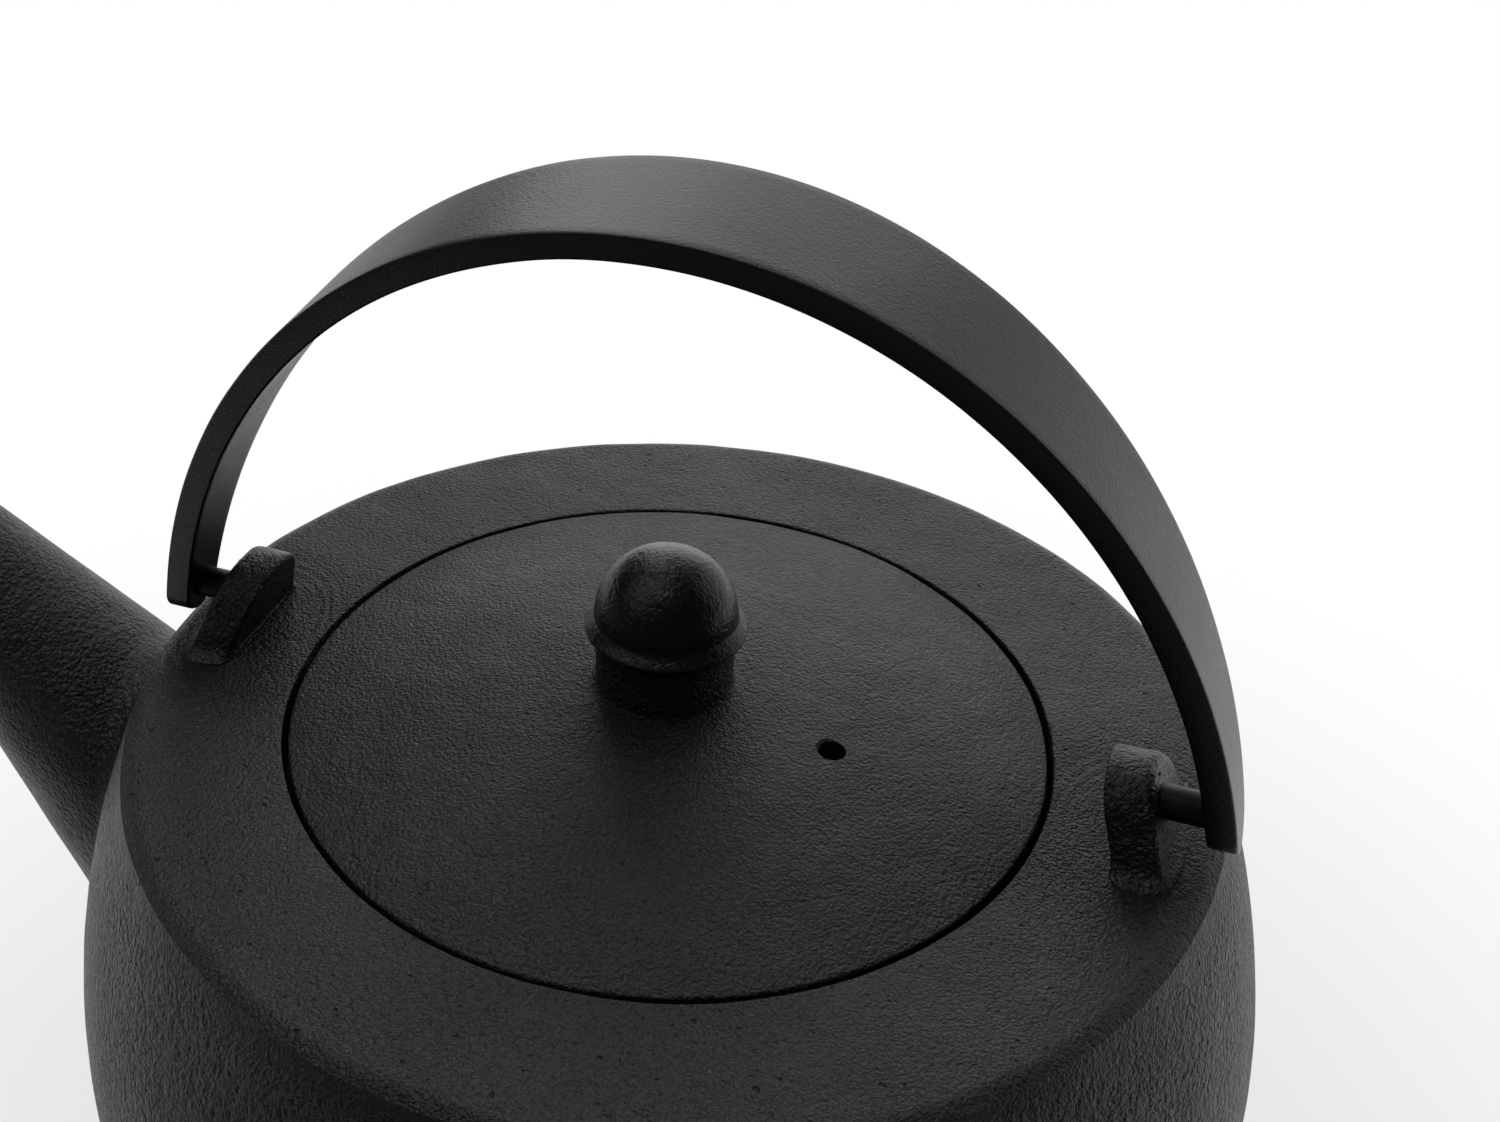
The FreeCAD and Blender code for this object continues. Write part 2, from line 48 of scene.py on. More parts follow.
# Metres in a millimetre
MM = 0.001
TAU = 2 * math.pi
QUARTER = math.pi / 2
# Points closer than this are one point
MERGE = 1e-6
# Edges that turn more than this stay hard
CREASE = math.radians(28)
# Whole numbers that scatter the corners of a lattice, and the bits that are kept of them
CORNER_FACTORS = np.array([73856093, 19349663, 83492791])
SEED_FACTOR = 1274126177
STIRS = ((13, 1597334677), (11, 69069))
STIR_BITS, SKIPPED_BITS, KEPT_BITS = 0x7FFFFFFF, 7, 0xFFFF
# Middle of a cloudy field, which runs from 0 to 1
MIDDLE = 0.5
# Inputs and output of a Mix node that mixes colours
MIX_SHARE, MIX_FIRST, MIX_SECOND, MIX_RESULT = 0, 6, 7, 2
WHITE = (1.0, 1.0, 1.0, 1.0)
Array = np.ndarray
Colour = tuple[float, float, float]
Place = tuple[float, float, float]
Pair = tuple[float, float]


class Side(Enum):
    """The two ends of the handle."""

    LEFT = -1
    RIGHT = 1


class Change(Enum):
    """How a mask goes from one end to the other."""

    STRAIGHT = "LINEAR"
    SOFT = "SMOOTHSTEP"


# Surfaces


def unit(vectors: Array) -> Array:
    """Vectors along the last axis brought to length one, with zero left as zero."""
    length = np.linalg.norm(vectors, axis=-1, keepdims=True)
    return vectors / np.where(length < MERGE, 1.0, length) * (length >= MERGE)


def lattice_noise(points: Array, cell: float, seed: int) -> Array:
    """Smooth random field: a random number at each lattice corner, joined by a quintic fade.

    Args:
        points: Places, in millimetres.
        cell: Width of a lattice cell, in millimetres.
        seed: Number that picks the field.

    Returns:
        Values from -1 to 1, one per place.
    """
    scaled = points / cell
    base = np.floor(scaled).astype(np.int64)
    part = scaled - base
    fade = part**3 * (part * (6 * part - 15) + 10)
    total = np.zeros(points.shape[:-1])
    for corner in np.ndindex(2, 2, 2):
        spot = base + np.array(corner)
        code = (spot * CORNER_FACTORS).sum(axis=-1) + seed * SEED_FACTOR
        for shift, factor in STIRS:
            code = (code ^ (code >> shift)) * factor & STIR_BITS
        weight = np.where(np.array(corner) == 1, fade, 1 - fade).prod(axis=-1)
        total += weight * (2 * (code >> SKIPPED_BITS & KEPT_BITS) / KEPT_BITS - 1)
    return total


@dataclass(frozen=True)
class Wear:
    """Unevenness of a casting.

    Attributes:
        depth: Deepest hollow, in millimetres.
        cell: Width of a hollow, in millimetres.
        seed: Number that picks the random field.
    """

    depth: float
    cell: float
    seed: int


@dataclass
class Grid:
    """A surface sampled over two parameters, in millimetres.

    Attributes:
        points: Array of rows, columns and x, y, z.
        closed_rows: Whether the last row joins the first.
        closed_columns: Whether the last column joins the first.
    """

    points: Array
    closed_rows: bool = False
    closed_columns: bool = True

    def faces(self, first: int) -> Array:
        """Quads between neighbouring samples.

        Args:
            first: Number of the grid's first point in its mesh.

        Returns:
            Array of four point numbers per quad.
        """
        rows, columns = self.points.shape[:2]
        index = first + np.arange(rows * columns).reshape(rows, columns)
        if self.closed_rows:
            index = np.vstack([index, index[:1]])
        if self.closed_columns:
            index = np.hstack([index, index[:, :1]])
        corners = [index[:-1, :-1], index[:-1, 1:], index[1:, 1:], index[1:, :-1]]
        return np.stack(corners, axis=-1).reshape(-1, 4)

    def normals(self) -> Array:
        """Unit normals: the cross product of the differences along the two parameters.

        Returns:
            One normal per sample.
        """
        slopes = []
        for axis, closed in enumerate((self.closed_rows, self.closed_columns)):
            if closed:
                slopes.append(np.roll(self.points, -1, axis) - np.roll(self.points, 1, axis))
            else:
                slopes.append(np.gradient(self.points, axis=axis))
        return unit(np.cross(slopes[0], slopes[1]))

    def worn(self, *wear: Wear, inward: int = 1) -> "Grid":
        """Uneven as a sand casting is: points sink along their normals by one random field after another.

        Args:
            wear: Fields of hollows.
            inward: 1 where the grid's normals point into the piece, -1 where they point out of it.

        Returns:
            The uneven surface.
        """
        grid = self
        for field in wear:
            depth = inward * field.depth * (lattice_noise(grid.points, field.cell, field.seed) + 1) / 2
            moved = grid.points + grid.normals() * depth[..., None]
            grid = Grid(moved, self.closed_rows, self.closed_columns)
        return grid


class Outline:
    """A chain of straight and round strokes in a plane, sampled at even steps."""

    def __init__(self, across: float, up: float) -> None:
        """Start the chain at a point."""
        self.strokes: list[Array] = [np.array([[across, up]], dtype=float)]

    def line(self, across: float, up: float, *, step: float) -> "Outline":
        """Go straight to a point.

        Args:
            across: First coordinate of the stroke's end.
            up: Second coordinate of the stroke's end.
            step: Longest distance between samples.

        Returns:
            The chain itself.
        """
        start, end = self.strokes[-1][-1], np.array([across, up], dtype=float)
        count = max(1, math.ceil(np.linalg.norm(end - start) / step))
        share = np.linspace(0, 1, count + 1)[1:, None]
        self.strokes.append(start + (end - start) * share)
        return self

    def arc(self, centre: Pair, radius: float, first: float, last: float, *, step: float) -> "Outline":
        """Go round a centre: centre + radius (cos a, sin a), with a from first to last.

        Args:
            centre: Centre of the arc.
            radius: Radius of the arc.
            first: Angle where the arc starts, in radians.
            last: Angle where the arc ends, in radians.
            step: Longest distance between samples.

        Returns:
            The chain itself.
        """
        count = max(2, math.ceil(abs(last - first) * radius / step))
        angle = np.linspace(first, last, count + 1)
        self.strokes.append(np.array(centre) + radius * np.stack([np.cos(angle), np.sin(angle)], axis=-1))
        return self

    def bend(self, corner: Pair, onto: Pair, radius: float, *, step: float) -> "Outline":
        """Go straight towards a corner and round it with an arc that touches both of its sides.

        Args:
            corner: Point where the sides would meet.
            onto: A point on the side that leaves the corner.
            radius: Radius of the round.
            step: Longest distance between samples.

        Returns:
            The chain itself.
        """
        middle = np.array(corner, dtype=float)
        arrive, leave = unit(middle - self.strokes[-1][-1]), unit(np.array(onto) - middle)
        turn = math.atan2(arrive[0] * leave[1] - arrive[1] * leave[0], arrive @ leave)
        first = middle - arrive * radius * math.tan(abs(turn) / 2)
        centre = first + math.copysign(radius, turn) * np.array([-arrive[1], arrive[0]])
        start = math.atan2(*(first - centre)[::-1])
        return self.line(*first, step=step).arc(tuple(centre), radius, start, start + turn, step=step)

    def points(self) -> Array:
        """All samples in order, without repeats.

        Returns:
            Pairs of coordinates.
        """
        chain = np.concatenate(self.strokes)
        kept = np.linalg.norm(np.diff(chain, axis=0), axis=1) > MERGE
        return chain[np.concatenate([[True], kept])]


def turned(profile: Array, columns: int, closed: bool = False) -> Grid:
    """Profile turned about the upright axis: (r, z) goes to (r cos a, r sin a, z).

    Args:
        profile: Samples of radius and height.
        columns: Steps in the full turn.
        closed: Whether the profile is a closed ring.

    Returns:
        The surface of revolution.
    """
    angle = np.arange(columns) * TAU / columns
    radius, height = profile[:, :1], profile[:, 1:]
    points = [radius * np.cos(angle), radius * np.sin(angle), height + 0 * angle]
    return Grid(np.stack(points, axis=-1), closed_rows=closed)


def new_mesh(name: str, grids: Sequence[Grid]) -> bpy.types.Mesh:
    """Mesh of several surfaces with its seams and poles merged and its faces turned outwards.

    Args:
        name: Name of the mesh.
        grids: Surfaces in millimetres.

    Returns:
        The mesh, in metres.
    """
    starts = np.cumsum([0] + [grid.points.shape[0] * grid.points.shape[1] for grid in grids])
    points = np.concatenate([grid.points.reshape(-1, 3) for grid in grids]) * MM
    faces = np.concatenate([grid.faces(first) for grid, first in zip(grids, starts)])
    mesh = bpy.data.meshes.new(name)
    mesh.from_pydata(points, [], faces)
    work = bmesh.new()
    work.from_mesh(mesh)
    bmesh.ops.remove_doubles(work, verts=work.verts, dist=MERGE)
    bmesh.ops.recalc_face_normals(work, faces=work.faces)
    work.to_mesh(mesh)
    work.free()
    return mesh


def new_object(name: str, data: bpy.types.ID) -> bpy.types.Object:
    """Object for a mesh, a lamp or a camera, in the scene's collection.

    Args:
        name: Name of the object.
        data: What it shows.

    Returns:
        The new object.
    """
    item = bpy.data.objects.new(name, data)
    bpy.context.scene.collection.objects.link(item)
    return item


def drilled(item: bpy.types.Object, cutter: Grid) -> None:
    """Take a closed shape out of a piece, such as a bore.

    Args:
        item: Piece that is cut.
        cutter: Closed surface of what is taken out.
    """
    tool = new_object("drill", new_mesh("drill", [cutter]))
    cut = item.modifiers.new("drill", "BOOLEAN")
    cut.operation, cut.solver, cut.object = "DIFFERENCE", "EXACT", tool
    depsgraph = bpy.context.evaluated_depsgraph_get()
    mesh = bpy.data.meshes.new_from_object(item.evaluated_get(depsgraph))
    item.modifiers.remove(cut)
    item.data = mesh
    bpy.data.objects.remove(tool)


# Finishes


def per_metre(size: float) -> float:
    """Texture scale at which a pattern's patches are a size wide, in millimetres."""
    return 1 / (size * MM)


class Value:
    """An output of a shader node that takes part in arithmetic."""

    def __init__(self, graph: "Graph", socket: bpy.types.NodeSocket) -> None:
        """Wrap a socket of a graph."""
        self.graph = graph
        self.socket = socket

    def __add__(self, other: "Value | float") -> "Value":
        """Sum."""
        return self.graph.math("ADD", self, other)

    def __sub__(self, other: "Value | float") -> "Value":
        """Difference."""
        return self.graph.math("SUBTRACT", self, other)

    def __rsub__(self, other: "Value | float") -> "Value":
        """Difference from a number."""
        return self.graph.math("SUBTRACT", other, self)

    def __mul__(self, other: "Value | float") -> "Value":
        """Product."""
        return self.graph.math("MULTIPLY", self, other)

    __radd__ = __add__
    __rmul__ = __mul__


class Graph:
    """The node graph of a material or of the surround."""

    def __init__(self, owner: bpy.types.Material | bpy.types.World) -> None:
        """Start with an empty graph.

        Args:
            owner: Material or surround that the graph belongs to.
        """
        owner.use_nodes = True
        self.owner = owner
        self.tree = owner.node_tree
        self.tree.nodes.clear()

    @classmethod
    def of_material(cls, name: str) -> "Graph":
        """Graph of a new material."""
        return cls(bpy.data.materials.new(name))

    def node(self, kind: str, settings: Mapping[str, Any] | None = None,
             sockets: Mapping[str | int, Any] | None = None, output: str | int = 0) -> Value:
        """Add a node.

        Args:
            kind: Type of the node.
            settings: Properties of the node; "stops" holds the places and greys of a ramp's two ends.
            sockets: Numbers, colours or values for its inputs.
            output: Output that is returned.

        Returns:
            The value of that output.
        """
        item = self.tree.nodes.new(kind)
        for key, setting in (settings or {}).items():
            if key == "stops":
                for stop, (place, grey) in zip(item.color_ramp.elements, setting):
                    stop.position, stop.color = place, (grey, grey, grey, 1)
            else:
                setattr(item, key, setting)
        for key, source in (sockets or {}).items():
            if isinstance(source, Value):
                self.tree.links.new(source.socket, item.inputs[key])
            else:
                item.inputs[key].default_value = source
        return Value(self, item.outputs[output])

    def math(self, operation: str, first: Value | float, second: Value | float) -> Value:
        """Arithmetic on two values."""
        return self.node("ShaderNodeMath", {"operation": operation}, {0: first, 1: second})

    def place(self) -> Value:
        """Object coordinates, in metres."""
        return self.node("ShaderNodeTexCoord", output="Object")

    def level(self, place: Value, axis: str) -> Value:
        """One coordinate of a place: X, Y or Z."""
        return self.node("ShaderNodeSeparateXYZ", None, {"Vector": place}, axis)

    def noise(self, place: Value, size: float, detail: float = 2.0, distortion: float = 0.0,
              output: str | int = 0) -> Value:
        """Cloudy field whose patches are about a size wide, in millimetres."""
        sockets = {"Vector": place, "Scale": per_metre(size), "Detail": detail, "Distortion": distortion}
        return self.node("ShaderNodeTexNoise", None, sockets, output)

    def vector(self, operation: str, first: Value | Place, second: Value | Place,
               output: str = "Vector") -> Value:
        """Vector arithmetic on two places."""
        return self.node("ShaderNodeVectorMath", {"operation": operation}, {0: first, 1: second}, output)

    def warped(self, place: Value, size: float, amount: float) -> Value:
        """Places pushed about by a cloudy field of a size, by about an amount, both in millimetres."""
        push = self.vector("SUBTRACT", self.noise(place, size, detail=1.0, output="Color"), (MIDDLE,) * 3)
        return self.vector("ADD", place, self.vector("MULTIPLY", push, (2 * amount * MM,) * 3))

    def cells(self, place: Value, size: float) -> Value:
        """Distance from the nearest middle, in a field of cells about a size wide, in millimetres."""
        sockets = {"Vector": place, "Scale": per_metre(size)}
        return self.node("ShaderNodeTexVoronoi", None, sockets, "Distance")

    def rings(self, place: Value, centre: Place, shape: Place, size: float) -> Value:
        """Uneven rings of a size round a centre, on an oval whose axes are scaled by a shape.

        Args:
            place: Where the field is read.
            centre: Middle of the rings, in millimetres.
            shape: Scale of each axis.
            size: Width of a ring, in millimetres.

        Returns:
            The field of rings.
        """
        away = self.vector("SUBTRACT", place, tuple(part * MM for part in centre))
        away = self.vector("MULTIPLY", away, shape)
        reach = self.node("ShaderNodeVectorMath", {"operation": "LENGTH"}, {0: away}, "Value")
        sockets = {"W": reach, "Scale": per_metre(size), "Detail": 2.0}
        return self.node("ShaderNodeTexNoise", {"noise_dimensions": "1D"}, sockets)

    def ramp(self, value: Value, limits: Pair, ends: Pair) -> Value:
        """Grey that goes straight from one end to the other while a value passes between two limits."""
        return self.node("ShaderNodeValToRGB", {"stops": tuple(zip(limits, ends))}, {"Fac": value})

    def fade(self, value: Value, limits: Pair, ends: Pair, change: Change = Change.SOFT) -> Value:
        """Change from one end to the other while a value passes between two limits.

        Args:
            value: What is followed.
            limits: Where the change starts and stops.
            ends: Result before and after the change.
            change: How the result goes between its ends.

        Returns:
            The changing result.
        """
        sockets = {"Value": value, "From Min": limits[0], "From Max": limits[1]}
        sockets |= {"To Min": ends[0], "To Max": ends[1]}
        return self.node("ShaderNodeMapRange", {"interpolation_type": change.value}, sockets)

    def near(self, place: Value, spot: Place, inner: float, outer: float) -> Value:
        """Mask that is one within an inner distance of a spot and none past an outer one, in millimetres."""
        away = self.vector("DISTANCE", place, tuple(part * MM for part in spot), "Value")
        return self.fade(away, (inner * MM, outer * MM), (1.0, 0.0))

    def tint(self, share: Value, first: Colour, second: Colour) -> Value:
        """Colour between two colours."""
        sockets = {MIX_SHARE: share, MIX_FIRST: (*first, 1.0), MIX_SECOND: (*second, 1.0)}
        return self.node("ShaderNodeMix", {"data_type": "RGBA"}, sockets, MIX_RESULT)

    def bump(self, height: Value, depth: float) -> Value:
        """Normal of a relief whose full depth is given in millimetres."""
        return self.node("ShaderNodeBump", None, {"Height": height, "Distance": depth * MM, "Strength": 1.0})

    def finish(self, **sockets: Any) -> bpy.types.Material:
        """Close the graph with a principled surface, whose inputs are named with underscores for spaces."""
        named = {key.replace("_", " "): source for key, source in sockets.items()}
        return self.close(self.node("ShaderNodeBsdfPrincipled", None, named))

    def close(self, surface: Value) -> bpy.types.Material | bpy.types.World:
        """Send a surface to the graph's output.

        Args:
            surface: What is shown.

        Returns:
            The material or surround.
        """
        kind = "World" if isinstance(self.owner, bpy.types.World) else "Material"
        output = self.tree.nodes.new(f"ShaderNodeOutput{kind}")
        self.tree.links.new(surface.socket, output.inputs["Surface"])
        return self.owner


@dataclass(frozen=True)
class Spot:
    """A place on a casting where the sand left a coarser grain.

    Attributes:
        centre: Middle of the spot, in millimetres.
        inner: Reach of the full effect, in millimetres.
        outer: Reach of its last trace, in millimetres.
        shape: Scale of each axis for the rings round the spot.
        rings: Strength of the rings, none at zero.
    """

    centre: Place
    inner: float
    outer: float
    shape: Place = (1.0, 1.0, 0.0)
    rings: float = 0.0


@dataclass(frozen=True)
class Relief:
    """How a casting's relief is mixed from its fields; widths and reach are in lumps of its grain.

    Attributes:
        warp_width: Width of the push that bends the fields.
        warp_reach: Reach of that push.
        pebble_width: Width of a pebble.
        wrinkle_width: Width of a wrinkle.
        wrinkle_twist: Distortion of the wrinkles.
        ring_width: Width of a ring at a coarse spot.
        pebbles: Share of the pebbles.
        lumps: Share of the lumps.
        wrinkles: Share of the wrinkles.
        level: What is taken off the sum of these three.
        strength: Strength of that sum where the mottling is dark.
        mottle_strength: What light mottling adds to it.
        swells: Share of the slow swells.
        pits: Share of the pits.
        specks: Share of the specks.
    """

    warp_width: float = 2.4
    warp_reach: float = 0.8
    pebble_width: float = 1.9
    wrinkle_width: float = 3.2
    wrinkle_twist: float = 0.6
    ring_width: float = 2.6
    pebbles: float = 0.7
    lumps: float = 0.9
    wrinkles: float = 0.8
    level: float = 1.2
    strength: float = 0.65
    mottle_strength: float = 0.7
    swells: float = 2.2
    pits: float = 1.5
    specks: float = 0.9


@dataclass(frozen=True)
class Tone:
    """How a casting's colour and roughness are mixed from its fields.

    Attributes:
        lumps: Share of the lumps in the colour.
        mottle: Share of the mottling in the colour.
        level: What is added to the sum of these two.
        pits: How far painted shade darkens the colour in a pit.
        rough_wrinkles: Share of the wrinkles in the roughness.
        rough_mottle: Share of the mottling in the roughness.
        rough_hollows: Share of the pits and specks in the roughness.
    """

    lumps: float = 0.6
    mottle: float = 0.9
    level: float = -0.3
    pits: float = 0.8
    rough_wrinkles: float = 0.2
    rough_mottle: float = 0.16
    rough_hollows: float = 0.25


@dataclass(frozen=True)
class CastIron:
    """Matt black casting with a leathery grain, small pits and faint mottling.

    Attributes:
        name: Name of the material.
        grain: Width of a lump of the grain, in millimetres.
        depth: Depth of the relief, in millimetres.
        roughness: Mean roughness.
        dark: Colour of the hollows.
        light: Colour of the lumps.
        sheen: Tint of the reflections.
        coarse: Spots with a deeper grain.
        coarse_gain: What a spot adds to the grain's strength.
        flank_gain: What the side below the shoulder adds to the wrinkles.
        flank_levels: Heights between which that fades out, in millimetres.
        pits: Strength of the pits and specks.
        pit_size: Distance between pits, in millimetres.
        pit_edge: Where a pit starts and ends to fade, in shares of that distance.
        speck_size: Distance between specks, in millimetres.
        speck_edge: Where a speck starts and ends to fade, in shares of that distance.
        patch_size: Width of the patches that hold specks, in millimetres.
        patch_edge: Values of the cloudy field between which a patch begins.
        hollow_warp: Width and reach of the push that bends pits and specks, in millimetres.
        swell_size: Width of the slow swells, in millimetres.
        mottle_size: Width of the mottling, in millimetres.
        relief: How the relief is mixed.
        tone: How colour and roughness are mixed.
    """

    name: str
    grain: float
    depth: float
    roughness: float
    dark: Colour = (0.004, 0.004, 0.004)
    light: Colour = (0.014, 0.0137, 0.0134)
    sheen: Colour = (1.0, 1.0, 1.0)
    coarse: tuple[Spot, ...] = ()
    coarse_gain: float = 1.0
    flank_gain: float = 0.0
    flank_levels: Pair = (76.0, 80.0)
    pits: float = 1.0
    pit_size: float = 4.2
    pit_edge: Pair = (0.045, 0.085)
    speck_size: float = 1.15
    speck_edge: Pair = (0.1, 0.2)
    patch_size: float = 2.6
    patch_edge: Pair = (0.46, 0.6)
    hollow_warp: Pair = (0.9, 0.35)
    swell_size: float = 7.0
    mottle_size: float = 20.0
    relief: Relief = Relief()
    tone: Tone = Tone()

    def hollows(self, graph: Graph, place: Value) -> tuple[Value, Value]:
        """Masks of the small holes: the middles of warped cells, with the specks only inside cloudy patches.

        Args:
            graph: Graph of the material.
            place: Object coordinates.

        Returns:
            The pits and the finer specks.
        """
        bent = graph.warped(place, *self.hollow_warp)
        pit = graph.ramp(graph.cells(bent, self.pit_size), self.pit_edge, (1.0, 0.0))
        patches = graph.ramp(graph.noise(place, self.patch_size), self.patch_edge, (0.0, 1.0))
        speck = graph.ramp(graph.cells(bent, self.speck_size), self.speck_edge, (1.0, 0.0))
        return pit * self.pits, speck * patches * self.pits

    def material(self) -> bpy.types.Material:
        """Warped pebbles, lumps and slower wrinkles, weighed and summed, less the pits and specks.

        The sum is stronger where the mottling is lighter and at the coarse spots, which may add rings, and
        the side below the shoulder has deeper wrinkles. The lumps and the mottling also pick the colour, and
        painted shade darkens it in the pits.

        Returns:
            The finished material.
        """
        graph, mix, tone = Graph.of_material(self.name), self.relief, self.tone
        place = graph.place()
        bent = graph.warped(place, self.grain * mix.warp_width, self.grain * mix.warp_reach)
        pebbles = 1 - graph.cells(bent, self.grain * mix.pebble_width)
        lumps = graph.noise(bent, self.grain)
        wrinkles = graph.noise(bent, self.grain * mix.wrinkle_width, distortion=mix.wrinkle_twist)
        swell = graph.noise(place, self.swell_size, detail=1.0)
        mottle = graph.noise(place, self.mottle_size, detail=3.0)
        relief = pebbles * mix.pebbles + lumps * mix.lumps + wrinkles * mix.wrinkles - mix.level
        strength = mottle * mix.mottle_strength + mix.strength
        for spot in self.coarse:
            mask = graph.near(place, spot.centre, spot.inner, spot.outer)
            strength = strength + mask * self.coarse_gain
            if spot.rings:
                rings = graph.rings(bent, spot.centre, spot.shape, self.grain * mix.ring_width)
                relief = relief + (rings - MIDDLE) * mask * spot.rings
        limits = tuple(level * MM for level in self.flank_levels)
        flank = graph.fade(graph.level(place, "Z"), limits, (self.flank_gain, 0.0), Change.STRAIGHT)
        pit, speck = self.hollows(graph, place)
        relief = relief * strength + (wrinkles - MIDDLE) * flank + swell * mix.swells
        relief = relief - pit * mix.pits - speck * mix.specks
        share = graph.node("ShaderNodeMath", {"operation": "ADD", "use_clamp": True},
                           {0: lumps * tone.lumps + mottle * tone.mottle, 1: tone.level})
        # Painted shade: the colour darkens in the pits.
        colour = graph.tint(share * (1 - pit * tone.pits), self.dark, self.light)
        rough = self.roughness + (wrinkles - MIDDLE) * tone.rough_wrinkles
        rough = rough + (mottle - MIDDLE) * tone.rough_mottle + (pit + speck) * tone.rough_hollows
        return graph.finish(Base_Color=colour, Roughness=rough, Normal=graph.bump(relief, self.depth),
                            Specular_Tint=(*self.sheen, 1.0))


@dataclass(frozen=True)
class Lacquer:
    """Satin black lacquer on steel, with a fine orange peel.

    Sizes and depth are in millimetres. Tints, roughs and shares weigh the fields in the colour, in the
    roughness and in the relief.
    """

    name: str
    dark: Colour
    light: Colour
    roughness: float
    depth: float
    peel_size: float = 0.45
    peel_twist: float = 0.4
    fine_size: float = 0.2
    mottle_size: float = 14.0
    peel_tint: float = 0.4
    mottle_tint: float = 0.6
    peel_rough: float = 0.1
    mottle_rough: float = 0.12
    peel_share: float = 0.7
    fine_share: float = 0.3

    def material(self) -> bpy.types.Material:
        """Two cloudy fields of peel over a faint mottling.

        Returns:
            The finished material.
        """
        graph = Graph.of_material(self.name)
        place = graph.place()
        peel = graph.noise(place, self.peel_size, distortion=self.peel_twist)
        fine = graph.noise(place, self.fine_size, detail=1.0)
        mottle = graph.noise(place, self.mottle_size, detail=3.0)
        colour = graph.tint(mottle * self.mottle_tint + peel * self.peel_tint, self.dark, self.light)
        rough = self.roughness + (mottle - MIDDLE) * self.mottle_rough + (peel - MIDDLE) * self.peel_rough
        normal = graph.bump(peel * self.peel_share + fine * self.fine_share, self.depth)
        return graph.finish(Base_Color=colour, Roughness=rough, Normal=normal)


@dataclass(frozen=True)
class Steel:
    """Brushed stainless sheet.

    Sizes and depth are in millimetres. Tints and rough weigh the fields in the colour and in the roughness.
    """

    name: str
    dark: Colour
    light: Colour
    roughness: float
    line_size: float = 0.12
    line_stretch: float = 0.06
    line_depth: float = 0.01
    mottle_size: float = 9.0
    line_tint: float = 0.5
    mottle_tint: float = 0.5
    line_rough: float = 0.18

    def material(self) -> bpy.types.Material:
        """Fine lines that run round the piece, from noise stretched across the upright.

        Returns:
            The finished material.
        """
        graph = Graph.of_material(self.name)
        place = graph.place()
        scale = (self.line_stretch, self.line_stretch, 1.0)
        stretched = graph.node("ShaderNodeMapping", None, {"Vector": place, "Scale": scale})
        lines = graph.noise(stretched, self.line_size)
        mottle = graph.noise(place, self.mottle_size)
        colour = graph.tint(lines * self.line_tint + mottle * self.mottle_tint, self.dark, self.light)
        rough = self.roughness + (lines - MIDDLE) * self.line_rough
        normal = graph.bump(lines, self.line_depth)
        return graph.finish(Base_Color=colour, Metallic=1.0, Roughness=rough, Normal=normal)


@dataclass(frozen=True)
class Piece:
    """A piece of the dressed model: its name, what it moves with and what it stands for."""

    name: str
    body: str
    slot: str
    nodes: tuple[str, ...]

    def make(self, grids: Sequence[Grid], material: bpy.types.Material,
             drills: Sequence[Grid] = ()) -> bpy.types.Object:
        """Build the piece and tie it to its body.

        Args:
            grids: Its surfaces.
            material: Its finish.
            drills: Closed shapes that are taken out of it.

        Returns:
            The piece.
        """
        item = new_object(self.name, new_mesh(self.name, grids))
        for cutter in drills:
            drilled(item, cutter)
        item.data.name = self.name
        item.data.materials.clear()
        item.data.materials.append(material)
        item.data.shade_smooth()
        item.data.set_sharp_from_angle(angle=CREASE)
        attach(item, self.body)
        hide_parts(*self.nodes)
        LOG.info("%s: %d faces", self.name, len(item.data.polygons))
        return item


# Pieces, with sizes in millimetres, and angles in degrees where a name doesn't say radians


